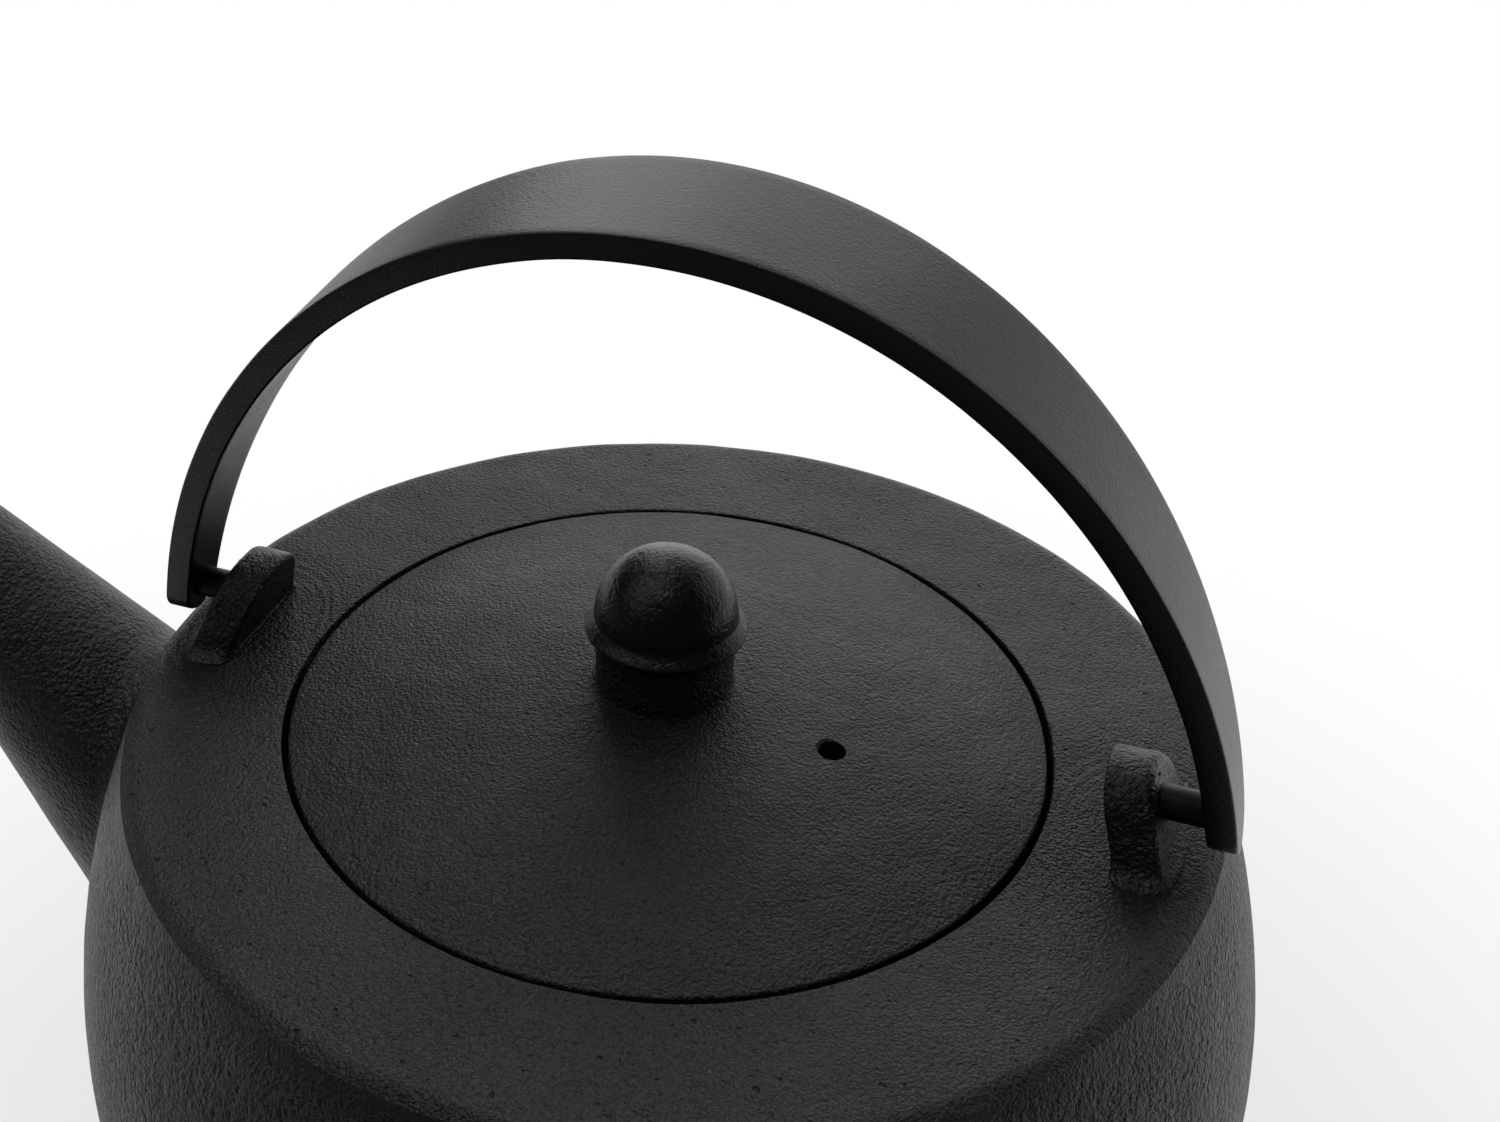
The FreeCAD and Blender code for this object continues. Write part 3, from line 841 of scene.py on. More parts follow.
@dataclass
class Pot:
    """Pot casting: a bowed belly under a flat shoulder, with a recess that carries basket and lid."""

    height: float = 82.0
    belly_radius: float = 74.4
    belly_height: float = 39.0
    shoulder_radius: float = 65.1
    shoulder_round: float = 3.0
    shoulder_ridge: float = 0.9
    base_round: float = 12.0
    foot_radius: float = 50.0
    foot_height: float = 1.0
    wall: float = 4.0
    shoulder_thickness: float = 5.0
    hollow_round: float = 9.0
    mouth_radius: float = 46.0
    mouth_round: float = 0.4
    seat_depth: float = 6.0
    throat_radius: float = 42.0
    ledge_thickness: float = 4.0
    ledge_backing: float = 4.0
    columns: int = 480
    wear: tuple[Wear, ...] = (Wear(0.2, 16, 3), Wear(0.1, 5, 4))

    @property
    def bow(self) -> float:
        """Radius of the side's arc, which runs from the belly to the shoulder's corner.

        Returns:
            The radius, from the arc's overhang and climb.
        """
        overhang = self.belly_radius - self.shoulder_radius
        climb = self.height - self.belly_height
        return (overhang**2 + climb**2) / (2 * overhang)

    @property
    def bow_centre(self) -> Pair:
        """Centre of the side's arc in the half section."""
        return self.belly_radius - self.bow, self.belly_height

    def side_radius(self, height: Array, inset: float = 0.0) -> Array:
        """Radius of the side at a height, inside its face by an inset: the arc's centre plus its leg."""
        leg = np.sqrt((self.bow - inset) ** 2 - (height - self.belly_height) ** 2)
        return self.bow_centre[0] + leg

    def side_normal(self, points: Array) -> Array:
        """Outward normal of the side: away from the arc's centre in each half plane.

        Args:
            points: Places on the side.

        Returns:
            One unit normal per place.
        """
        radius = np.hypot(points[..., 0], points[..., 1])
        lean = (radius - self.bow_centre[0]) / self.bow
        rise = (points[..., 2] - self.belly_height) / self.bow
        level = [points[..., axis] / radius * lean for axis in (0, 1)]
        return unit(np.stack([*level, rise], axis=-1))

    def corner(self, radius: float, level: float, inset: float = 0.0) -> tuple[Pair, float]:
        """Round between a level and the side: a circle that touches both from inside.

        Args:
            radius: Radius of the round.
            level: Height of the round's centre.
            inset: Distance of the side inside the outer face.

        Returns:
            The round's centre, and the angle of the point where it meets the side.
        """
        rise = level - self.belly_height
        across = self.bow_centre[0] + math.sqrt((self.bow - inset - radius) ** 2 - rise**2)
        return (across, level), math.atan2(rise, across - self.bow_centre[0])

    def section(self) -> Array:
        """Half section: up the outside to a faint ridge, over the shoulder, and down the inside.

        Returns:
            Samples of radius and height.
        """
        base, base_angle = self.corner(self.base_round, self.foot_height + self.base_round)
        top, top_angle = self.corner(self.shoulder_round, self.height - self.shoulder_round)
        floor = self.foot_height + self.wall
        inner, inner_angle = self.corner(self.hollow_round, floor + self.hollow_round, self.wall)
        seat = self.height - self.seat_depth
        ceiling = self.height - self.shoulder_thickness
        ceiling_angle = math.asin((ceiling - self.belly_height) / (self.bow - self.wall))
        mouth = (self.mouth_radius + self.mouth_round, self.height - self.mouth_round)
        chain = Outline(0, 0).line(self.foot_radius, 0, step=6)
        chain.line(self.foot_radius, self.foot_height, step=0.5).line(base[0], self.foot_height, step=2)
        chain.arc(base, self.base_round, -QUARTER, base_angle, step=1.2)
        ridge_angle = top_angle + self.shoulder_ridge / self.bow
        chain.arc(self.bow_centre, self.bow, base_angle, ridge_angle, step=1.1)
        chain.arc(top, self.shoulder_round, (top_angle + QUARTER) / 2, QUARTER, step=0.4)
        chain.line(mouth[0], self.height, step=0.9).arc(mouth, self.mouth_round, QUARTER, math.pi, step=0.2)
        chain.line(self.mouth_radius, seat, step=1.2).line(self.throat_radius, seat, step=2)
        chain.line(self.throat_radius, seat - self.ledge_thickness, step=2)
        backing = self.mouth_radius + self.ledge_backing
        chain.line(backing, seat - self.ledge_thickness, step=4).line(backing, ceiling, step=3)
        chain.arc(self.bow_centre, self.bow - self.wall, ceiling_angle, inner_angle, step=4)
        chain.arc(inner, self.hollow_round, inner_angle, -QUARTER, step=2.5).line(0, floor, step=8)
        return chain.points()

    def build(self, iron: bpy.types.Material, spout: "Spout") -> bpy.types.Object:
        """Turn the section, make it uneven as a casting is, and open it to the spout."""
        shell = turned(self.section(), self.columns).worn(*self.wear)
        return Piece("pot_shell", "pot", "cast_iron", ("pot_body",)).make([shell], iron, [spout.opening()])


@dataclass
class Spout:
    """Conical spout that leaves the belly on a slant and blends into it."""

    pot: Pot
    angle: float = 46.0
    offset: float = 70.0
    level: float = 47.8
    root_radius: float = 18.2
    tip_radius: float = 8.2
    length: float = 52.0
    wall: float = 3.4
    blend: float = 5.0
    blend_reach: Pair = (1.5, 9.0)
    blend_pull: float = 0.62
    blend_bite: float = 0.03
    flange: float = 4.0
    flange_bite: float = 0.05
    opening_room: float = 1.2
    opening_span: Pair = (-24.0, 26.0)
    search: Pair = (-45.0, 40.0)
    halvings: int = 40
    blend_rows: int = 15
    outside_rows: int = 46
    lip_rows: int = 11
    bore_rows: int = 30
    opening_rows: int = 9
    columns: int = 160
    wear: tuple[Wear, ...] = (Wear(0.12, 7, 11),)

    @property
    def taper(self) -> float:
        """Loss of radius per millimetre along the axis."""
        return (self.root_radius - self.tip_radius) / self.length

    @property
    def axis(self) -> Array:
        """Unit vector along the axis, towards the tip."""
        lean = math.radians(self.angle)
        return np.array([-math.cos(lean), 0, math.sin(lean)])

    def around(self) -> Array:
        """Unit vectors across the axis: e cos a + f sin a, with e the upper side and f along Y.

        Returns:
            One vector per column.
        """
        lean = math.radians(self.angle)
        turn = np.arange(self.columns) * TAU / self.columns
        upper = np.array([math.sin(lean), 0, math.cos(lean)])
        return np.cos(turn)[:, None] * upper + np.sin(turn)[:, None] * np.array([0, 1.0, 0])

    def on_cone(self, along: Array, inset: Array | float) -> Array:
        """Points of a cone inside the outer face: root + along axis + (radius - taper along - inset) around.

        Args:
            along: Distances along the axis, one per column or rows of such.
            inset: Distance inside the outer face, one for all or one per row.

        Returns:
            Places, with x, y and z on the last axis.
        """
        root = np.array([-self.offset, 0, self.level])
        radius = self.root_radius - self.taper * along - inset
        return root + along[..., None] * self.axis + radius[..., None] * self.around()

    def meet(self, inset: float, depth: float) -> Array:
        """Distance along the axis where a cone meets the pot's side, found by halving.

        Args:
            inset: Distance of the cone inside the outer face.
            depth: Distance of the side inside the pot's outer face.

        Returns:
            One distance per column.
        """
        low, high = (np.full(self.columns, end) for end in self.search)
        for _ in range(self.halvings):
            middle = (low + high) / 2
            points = self.on_cone(middle, inset)
            outside = np.hypot(points[:, 0], points[:, 1]) > self.pot.side_radius(points[:, 2], depth)
            low, high = np.where(outside, low, middle), np.where(outside, middle, high)
        return (low + high) / 2

    def on_side(self, points: Array, inset: float) -> Array:
        """Points moved level with their height onto the pot's side.

        Args:
            points: Places near the side.
            inset: Distance inside the pot's outer face.

        Returns:
            Places on the side.
        """
        radius = np.hypot(points[..., 0], points[..., 1])
        scale = self.pot.side_radius(points[..., 2], inset) / radius
        return np.stack([points[..., 0] * scale, points[..., 1] * scale, points[..., 2]], axis=-1)

    def fillet(self) -> tuple[Array, Array]:
        """Blend between cone and side: a cubic curve per column that leaves each along its own face.

        Returns:
            Distances along the axis where the cone ends, and rows of points from there to the side.
        """
        foot = self.meet(0, 0)
        corner = self.on_cone(foot, 0)
        ridge = np.roll(corner, -1, 0) - np.roll(corner, 1, 0)
        normal = self.pot.side_normal(corner)
        away = unit(np.cross(normal, ridge))
        centre = np.array([-self.offset, 0, self.level]) + foot[:, None] * self.axis
        away *= np.sign((away * (corner - centre)).sum(-1, keepdims=True))
        rise = unit(self.axis - self.taper * self.around())
        gap = np.arccos(np.clip((rise * away).sum(-1), -1, 1))
        reach = np.clip(self.blend / np.tan(gap / 2), *self.blend_reach)
        start = self.on_cone(foot + reach, 0)
        end = self.on_side(corner + reach[:, None] * away, self.blend_bite)
        normal = self.pot.side_normal(end)
        back = corner - end
        back = unit(back - normal * (back * normal).sum(-1, keepdims=True))
        handle = self.blend_pull * reach[:, None]
        share = np.linspace(0, 1, self.blend_rows)[1:, None, None]
        rows = (start * (1 - share) ** 3 + 3 * (start - rise * handle) * share * (1 - share) ** 2
                + 3 * (end + back * handle) * share**2 * (1 - share) + end * share**3)
        return foot + reach, rows

    def surface(self) -> Grid:
        """Closed skin: up the outside from the blend, round the lip and down the bore to the pot's inside.

        Returns:
            The skin, closed both ways.
        """
        foot, rows = self.fillet()
        half = self.wall / 2
        lip_start = self.length - half
        share = np.linspace(0, 1, self.outside_rows)[:, None]
        outside = self.on_cone(lip_start + (foot - lip_start) * share, 0)
        turn = np.linspace(0, math.pi, self.lip_rows)[1:-1, None]
        lip = self.on_cone(lip_start + half * np.sin(turn) + 0 * foot, half - half * np.cos(turn))
        bore_end = self.meet(self.wall, self.pot.wall)
        share = np.linspace(0, 1, self.bore_rows)[:, None]
        bore = self.on_cone(lip_start + (bore_end - lip_start) * share, self.wall)
        spread, inside = self.wall - self.flange, self.pot.wall + self.flange_bite
        flange = self.on_side(self.on_cone(self.meet(spread, self.pot.wall), spread), inside)
        edge = self.on_side(bore[-1], inside)
        skin = np.concatenate([rows[::-1], outside[::-1], lip, bore[:-1], edge[None], flange[None]])
        return Grid(skin, closed_rows=True)

    def opening(self) -> Grid:
        """Closed cone that opens the pot's wall to the bore, a little wider than the bore.

        Returns:
            The shape to take out of the pot.
        """
        along = np.linspace(*self.opening_span, self.opening_rows)[:, None] + np.zeros(self.columns)
        rows = self.on_cone(along, self.wall - self.opening_room)
        ends = [np.broadcast_to(rows[index].mean(0), rows[0].shape)[None] for index in (0, -1)]
        return Grid(np.concatenate([ends[0], rows, ends[1]]))

    def build(self, iron: bpy.types.Material) -> bpy.types.Object:
        """Make the skin uneven as a casting is."""
        skin = self.surface().worn(*self.wear)
        return Piece("spout", "pot", "cast_iron", ("pot_body",)).make([skin], iron)


@dataclass
class Lug:
    """Upright ear on the shoulder: a tongue in side view that leans inwards on a blended foot."""

    side: Side
    pot: Pot
    crown_height: float = 3.2
    offset: float = 53.4
    thickness: float = 5.9
    top_radius: float = 6.9
    half_length: float = 9.8
    root: float = 2.0
    lean: float = 20.0
    turn: float = 2.0
    edge: float = 0.6
    top_edge: float = 1.3
    foot_height: float = 1.6
    foot_width: float = 0.8
    inner_foot: float = 0.25
    lip: float = 0.34
    lip_rise: tuple[float, ...] = (0.3, 0.7, 0.9, 1.0)
    lip_reach: tuple[float, ...] = (0.9, 0.85, 0.7, 0.5, 0.25, 0.0)
    sunk: Pair = (-1.0, -0.3)
    corner_power: int = 4
    foot_samples: int = 10
    flank_samples: int = 20
    crown_samples: int = 40
    edge_samples: int = 7
    band_samples: int = 21
    face_samples: int = 7
    wear: tuple[Wear, ...] = (Wear(0.26, 4.0, 21), Wear(0.12, 1.2, 25))

    def foot(self) -> tuple[Array, Array]:
        """Foot of the ear: a rolled lip on the shoulder, then a quarter ellipse up to the flank.

        Returns:
            Heights over the shoulder, and the outward flare at each.
        """
        turn = np.linspace(0, QUARTER, self.foot_samples)[1:]
        rolled = self.foot_width + np.array(self.lip_reach)
        rises = np.concatenate([self.sunk, self.lip * np.array(self.lip_rise)])
        curve = self.lip + (self.foot_height - self.lip) * (1 - np.cos(turn))
        flare = self.foot_width * (1 - np.sin(turn))
        return np.concatenate([rises, curve]), np.concatenate([rolled, flare])

    def outline(self) -> tuple[Array, Array]:
        """Tongue in side view: straight flanks that touch the crown's circle.

        Returns:
            Samples of y and height over the shoulder from the near foot over the top to the far foot,
            and the outward normal at each.
        """
        drop = self.crown_height + self.root
        corner = math.hypot(self.half_length, drop)
        touch = math.acos(self.top_radius / corner) - math.atan2(drop, self.half_length)
        across, up = self.top_radius * math.cos(touch), self.top_radius * math.sin(touch)
        straight = np.linspace(self.foot_height, self.crown_height + up, self.flank_samples)[1:]
        flank = np.concatenate([self.foot()[0], straight])
        share = (flank + self.root) / (drop + up)
        turn = np.linspace(touch, QUARTER, self.crown_samples)[1:]
        narrowing = self.half_length + (across - self.half_length) * share
        half = np.concatenate([narrowing, self.top_radius * np.cos(turn)])
        rise = np.concatenate([flank, self.crown_height + self.top_radius * np.sin(turn)])
        lean = np.concatenate([np.full(len(flank), touch), turn])
        near = np.stack([-half, rise], axis=-1), np.stack([-np.cos(lean), np.sin(lean)], axis=-1)
        flip = np.array([-1.0, 1.0])
        return tuple(np.concatenate([part, part[-2::-1] * flip]) for part in near)

    def surface(self) -> list[Grid]:
        """Rounded band carried along the outline, two faces drawn in to its middle line, and a floor.

        Each level of the ear then widens by the flare of its foot, less towards its corners, leans in by its
        height, and turns a little.

        Returns:
            The skin and the floor.
        """
        line, normal = self.outline()
        half = self.thickness / 2
        edge = self.edge + (self.top_edge - self.edge) * np.clip(normal[:, 1], 0, 1) ** 2
        turn = np.linspace(0, QUARTER, self.edge_samples)[:, None]
        fine = np.linspace(-1, 1, self.band_samples)[1:-1, None]
        depth = np.concatenate([edge * (1 - np.sin(turn)), 0 * edge * fine, edge * (1 - np.cos(turn))])
        across = np.concatenate([edge * (1 - np.cos(turn)) - half, (half - edge) * fine,
                                 half - edge * (1 - np.sin(turn))])
        band = line - normal * depth[..., None]
        drawn = np.linspace(0, 1, self.face_samples)[:-1, None, None]
        face = band[0] * (drawn * np.array([1.0, 0.0]) + np.array([0.0, 1.0]))
        plane = np.concatenate([face, band, face[::-1]])
        side = np.full(face.shape[:2], half)
        across = np.concatenate([-side, across, side])
        long, rise = plane[..., 0], plane[..., 1]
        flare = np.interp(rise, *self.foot(), right=0.0)
        near = line[: len(line) // 2 + 1]
        reach = np.maximum(np.interp(rise, near[:, 1], -near[:, 0]), self.edge)
        corner = np.clip(np.abs(long) / reach, 0, 1), np.clip(np.abs(across) / half, 0, 1)
        fall = [np.sqrt(1 - part**self.corner_power) for part in corner]
        spread = np.where(across < 0, self.inner_foot, 1.0) * fall[0]
        wide = across * (half + flare * spread) / half
        end = long * (reach + flare * fall[1]) / reach
        long = np.where(rise < self.foot_height, end, long)
        slope, swing = math.tan(math.radians(self.lean)), math.radians(self.turn)
        place = self.side.value * (self.offset + half + wide - slope * (rise - self.crown_height))
        points = [place + math.sin(swing) * long, math.cos(swing) * long, rise + self.pot.height]
        skin = np.stack(points, axis=-1)
        return [Grid(skin, closed_columns=False), Grid(skin[:, [0, -1]], closed_columns=False)]

    def build(self, iron: bpy.types.Material) -> bpy.types.Object:
        """Make the ear uneven as a casting is.

        Args:
            iron: Its finish.

        Returns:
            The piece.
        """
        way = -self.side.value
        skin, floor = self.surface()
        wear = [replace(field, seed=field.seed + way) for field in self.wear]
        skin = skin.worn(*wear, inward=way)
        name = f"lug_{self.side.name.lower()}"
        return Piece(name, "pot", "cast_iron", ("pot_body",)).make([skin, floor], iron)


@dataclass
class Lid:
    """Lid casting: a low dome, a little longer from front to back, with a skirt, a vent and a neck."""

    seat: float = 76.8
    rim_radius: float = 45.5
    rim_top: float = 81.9
    rise: float = 5.8
    thickness: float = 6.4
    edge_round: float = 0.5
    skirt_radius: float = 34.5
    skirt_wall: float = 3.0
    skirt_depth: float = 4.0
    neck_top: float = 94.7
    neck_foot_radius: float = 8.2
    neck_top_radius: float = 8.4
    neck_blend: float = 0.9
    neck_lean: float = 0.05
    bore_radius: float = 2.3
    bore_closing: float = 1.0
    vent_radius: float = 1.6
    vent_offset: float = 22.1
    vent_turn: float = -10.7
    vent_round: float = 0.35
    drill_below: float = 4.0
    drill_above: float = 2.0
    drill_columns: int = 40
    oval: float = 1.005
    columns: int = 384
    wear: tuple[Wear, ...] = (Wear(0.16, 14, 31), Wear(0.08, 4, 32))

    @property
    def dome(self) -> Pair:
        """Radius of the dome and the height of its centre, from the rim and the foot of the neck."""
        depth = (self.rim_radius**2 - self.neck_foot_radius**2 - self.rise**2) / (2 * self.rise)
        return math.hypot(self.rim_radius, depth), self.rim_top - depth

    def section(self) -> Array:
        """Half section, round from the bore under the lid to the rim and over the dome to the neck.

        Returns:
            Samples of radius and height.
        """
        dome, centre = self.dome
        under = self.rim_top + self.rise - self.thickness
        inner = self.skirt_radius - self.skirt_wall
        edge = self.rim_radius - self.edge_round
        edge_up = math.sqrt((dome - self.edge_round) ** 2 - edge**2)
        edge_angle = math.atan2(edge_up, edge)
        blend = self.neck_foot_radius + self.neck_lean + self.neck_blend
        blend_up = math.sqrt((dome + self.neck_blend) ** 2 - blend**2)
        blend_angle = math.atan2(blend_up, blend)
        skirt_end = self.seat - self.skirt_depth
        chain = Outline(self.bore_radius, under).line(inner, under, step=5).line(inner, skirt_end, step=2)
        chain.line(self.skirt_radius, skirt_end, step=2).line(self.skirt_radius, self.seat, step=2)
        chain.line(self.rim_radius, self.seat, step=3).line(self.rim_radius, centre + edge_up, step=1)
        chain.arc((edge, centre + edge_up), self.edge_round, 0, edge_angle, step=0.2)
        chain.arc((0, centre), dome, edge_angle, blend_angle, step=0.6)
        chain.arc((blend, centre + blend_up), self.neck_blend, blend_angle - math.pi, -math.pi, step=0.45)
        chain.line(self.neck_top_radius, self.neck_top, step=0.7)
        chain.line(self.bore_radius, self.neck_top, step=2)
        # The closed ring adds the last stretch of the bore
        return chain.line(self.bore_radius, under + self.bore_closing, step=2).points()

    def vent(self) -> Grid:
        """Closed drill for the vent: a bore whose mouth opens in a quarter round at the lid's face.

        Returns:
            The shape to take out of the lid.
        """
        dome, centre = self.dome
        face = centre + math.sqrt(dome**2 - self.vent_offset**2)
        mouth = (self.vent_radius + self.vent_round, face - self.vent_round)
        bottom, top = self.seat - self.drill_below, face + self.drill_above
        chain = Outline(0, bottom).line(self.vent_radius, bottom, step=2)
        chain.line(self.vent_radius, mouth[1], step=2)
        chain.arc(mouth, self.vent_round, math.pi, QUARTER, step=0.1)
        chain.line(mouth[0], top, step=2).line(0, top, step=2)
        drill = turned(chain.points(), self.drill_columns)
        turn = math.radians(self.vent_turn)
        drill.points[..., :2] += self.vent_offset * np.array([math.cos(turn), math.sin(turn)])
        return drill

    def build(self, iron: bpy.types.Material) -> bpy.types.Object:
        """Turn the section, make it uneven as a casting is, and drill the vent.

        Args:
            iron: Its finish.

        Returns:
            The piece.
        """
        disc = turned(self.section(), self.columns, closed=True).worn(*self.wear)
        disc.points[..., 1] *= self.oval
        return Piece("lid_casting", "lid", "cast_iron", ("lid",)).make([disc], iron, [self.vent()])


@dataclass
class Knob:
    """Acorn knob: a dome on a sloping collar with a round rim."""

    level: float = 94.7
    foot_radius: float = 8.4
    collar_radius: float = 9.85
    collar_rim: float = 1.4
    collar_height: float = 2.8
    collar_round: float = 0.5
    dome_radius: float = 8.5
    dome_blend: float = 0.9
    bore_radius: float = 2.0
    bore_depth: float = 8.0
    columns: int = 160
    wear: tuple[Wear, ...] = (Wear(0.12, 5, 41),)

    def section(self) -> Array:
        """Half section from the bore, out under the collar, round its rim and over the dome.

        Returns:
            Samples of radius and height.
        """
        top = self.level + self.collar_height
        rim, waist = (self.collar_radius, self.level + self.collar_rim), (self.dome_radius, top)
        bore_end = self.level + self.bore_depth
        chain = Outline(0, bore_end).line(self.bore_radius, bore_end, step=1)
        chain.line(self.bore_radius, self.level, step=2).line(self.foot_radius, self.level, step=1.5)
        chain.bend(rim, waist, self.collar_round, step=0.12)
        chain.bend(waist, (self.dome_radius, top + self.dome_radius), self.dome_blend, step=0.12)
        start = math.asin((chain.strokes[-1][-1][1] - top) / self.dome_radius)
        return chain.arc((0, top), self.dome_radius, start, QUARTER, step=0.3).points()

    def build(self, iron: bpy.types.Material) -> bpy.types.Object:
        """Turn the section and make it slightly uneven."""
        skin = turned(self.section(), self.columns).worn(*self.wear)
        return Piece("acorn_knob", "lid", "knob_iron", ("lid_knob",)).make([skin], iron)


@dataclass
class Strap:
    """Bail of flat bar: an elliptic arch, wide at the crown and narrow at its round ends."""

    pin_level: float = 86.8
    half_span: float = 66.3
    half_width: float = 68.3
    rise: float = 63.7
    thickness: float = 3.4
    crown_width: float = 21.2
    overrun: float = 2.0
    end_width: float = 8.0
    edge: float = 0.4
    tip_radians: float = 1.4
    tip_samples: int = 16
    leg_samples: int = 150
    edge_samples: int = 5
    face_samples: int = 17
    wear: tuple[Wear, ...] = (Wear(0.06, 9, 51),)

    def widths(self, rise: Array) -> Array:
        """Half width at a height over the pins: straight flanks that touch a circle round the pin.

        Args:
            rise: Heights over the pins.

        Returns:
            Half widths along Y.
        """
        radius = self.end_width / 2
        half, far = self.crown_width / 2, self.rise + self.overrun
        touch = math.atan2(far, half) - math.acos(radius / math.hypot(half, far))
        across, up = radius * math.cos(touch), radius * math.sin(touch)
        flank = across + (half - across) * (rise - up) / (far - up)
        return np.where(rise > up, flank, np.sqrt(np.maximum(radius**2 - rise**2, 0)))

    def arch(self, inset: float) -> Array:
        """Line of the arch inside its outer face: an ellipse, sampled closely at its ends.

        Args:
            inset: Distance inside the outer face.

        Returns:
            Samples of x and of height over the pins, from the right end to the left.
        """
        dip = math.sqrt(1 - (self.half_span / self.half_width) ** 2)
        tall = self.rise / (1 - dip)
        centre = self.rise - tall
        tip = -self.end_width / 2 * np.cos(np.linspace(0, self.tip_radians, self.tip_samples))
        start = np.arcsin((tip - centre) / (tall - inset))
        angle = np.concatenate([start, np.linspace(start[-1], QUARTER, self.leg_samples)[1:]])
        angle = np.concatenate([angle, math.pi - angle[-2::-1]])
        across = (self.half_width - inset) * np.cos(angle)
        return np.stack([across, centre + (tall - inset) * np.sin(angle)], axis=-1)

    def surface(self) -> Grid:
        """Rounded bar section carried along the arch; each section lies between the inner and outer lines.

        Returns:
            The skin, with a row per section.
        """
        outer, inner = self.arch(0), self.arch(self.thickness)
        quarter = np.linspace(0, QUARTER, self.edge_samples)
        fine = np.linspace(-1, 1, self.face_samples)[1:-1]
        edge = self.edge
        # Section: place across in half widths, cut of the rounds off it, and height over the inner face
        width_sign, cut, depth = [], [], []
        for sign, depths in ((1, (edge, self.thickness - edge)), (-1, (self.thickness - edge, edge))):
            for index, level in enumerate(depths):
                turn = quarter if index == 0 else quarter[::-1]
                face = 1 if (level > self.thickness / 2) else -1
                width_sign += [sign] * len(turn)
                cut += list(edge - edge * np.sin(turn))
                depth += list(level + face * edge * np.cos(turn))
            width_sign += list(-sign * fine)
            cut += [edge] * len(fine)
            depth += [self.thickness if sign > 0 else 0] * len(fine)
        width_sign, cut, depth = np.array(width_sign), np.array(cut), np.array(depth)
        share = depth / self.thickness
        line = inner[:, None] * (1 - share)[:, None] + outer[:, None] * share[:, None]
        half = self.widths(line[..., 1])
        along = width_sign * np.maximum(half - np.minimum(cut, half), 0)
        points = np.stack([line[..., 0], along, line[..., 1] + self.pin_level], axis=-1)
        return Grid(points)

    def build(self, lacquer: bpy.types.Material) -> bpy.types.Object:
        """Make the bar very slightly uneven."""
        skin = self.surface().worn(*self.wear, inward=-1)
        return Piece("strap", "handle", "strap_black", ("handle_strap",)).make([skin], lacquer)


@dataclass
class Pin:
    """Pin through one end of the strap into its lug."""

    side: Side
    level: float = 86.8
    radius: float = 2.0
    inner: float = 53.9
    outer: float = 65.8
    inner_chamfer: float = 0.4
    outer_chamfer: float = 0.3
    columns: int = 48

    def surface(self) -> Grid:
        """Turned pin along X: (x, r) goes to (x, r cos a, r sin a).

        Returns:
            The skin of the pin.
        """
        chain = Outline(0, self.inner).line(self.radius - self.inner_chamfer, self.inner, step=1)
        chain.line(self.radius, self.inner + self.inner_chamfer, step=0.3)
        chain.line(self.radius, self.outer - self.outer_chamfer, step=0.8)
        chain.line(self.radius - self.outer_chamfer, self.outer, step=0.3).line(0, self.outer, step=1)
        grid = turned(chain.points(), self.columns)
        grid.points = grid.points[..., [2, 0, 1]]
        grid.points[..., 0] *= self.side.value
        grid.points[..., 2] += self.level
        return grid

    def build(self, steel: bpy.types.Material) -> bpy.types.Object:
        """Make the pin."""
        name = f"pin_{self.side.name.lower()}"
        return Piece(name, "handle", "pin_steel", (f"handle_{name}",)).make([self.surface()], steel)


@dataclass(frozen=True)
class Basket:
    """Tea basket and the knob's screw and washer, whose solids already have their shape."""

    nodes: tuple[str, ...] = ("infuser_rim", "infuser_wall", "infuser_base", "knob_screw", "knob_washer")

    def dress(self, steel: bpy.types.Material) -> None:
        """Give each solid its finish.

        Args:
            steel: The finish.
        """
        for name in self.nodes:
            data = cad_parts[name].data
            data.materials.clear()
            data.materials.append(steel)
            LOG.info("%s: dressed", name)


# Studio


@dataclass(frozen=True)
class Softbox:
    """A broad lamp that faces the pot; place and size are in metres, power is in watts."""

    name: str
    place: Place
    size: Pair
    power: float

    def build(self, target: Place) -> None:
        """Put the lamp in its place, facing a target, both in metres.

        Args:
            target: Point that it faces.
        """
        lamp = bpy.data.lights.new(self.name, "AREA")
        lamp.shape, lamp.energy = "RECTANGLE", self.power
        lamp.size, lamp.size_y = self.size
        item = new_object(self.name, lamp)
        back = unit(np.array(self.place) - np.array(target))
        right = unit(np.cross(np.array([0, 0, 1.0]), back))
        axes = np.stack([right, np.cross(back, right), back], axis=1)
        item.matrix_world = Matrix.LocRotScale(self.place, Matrix(axes.tolist()), None)


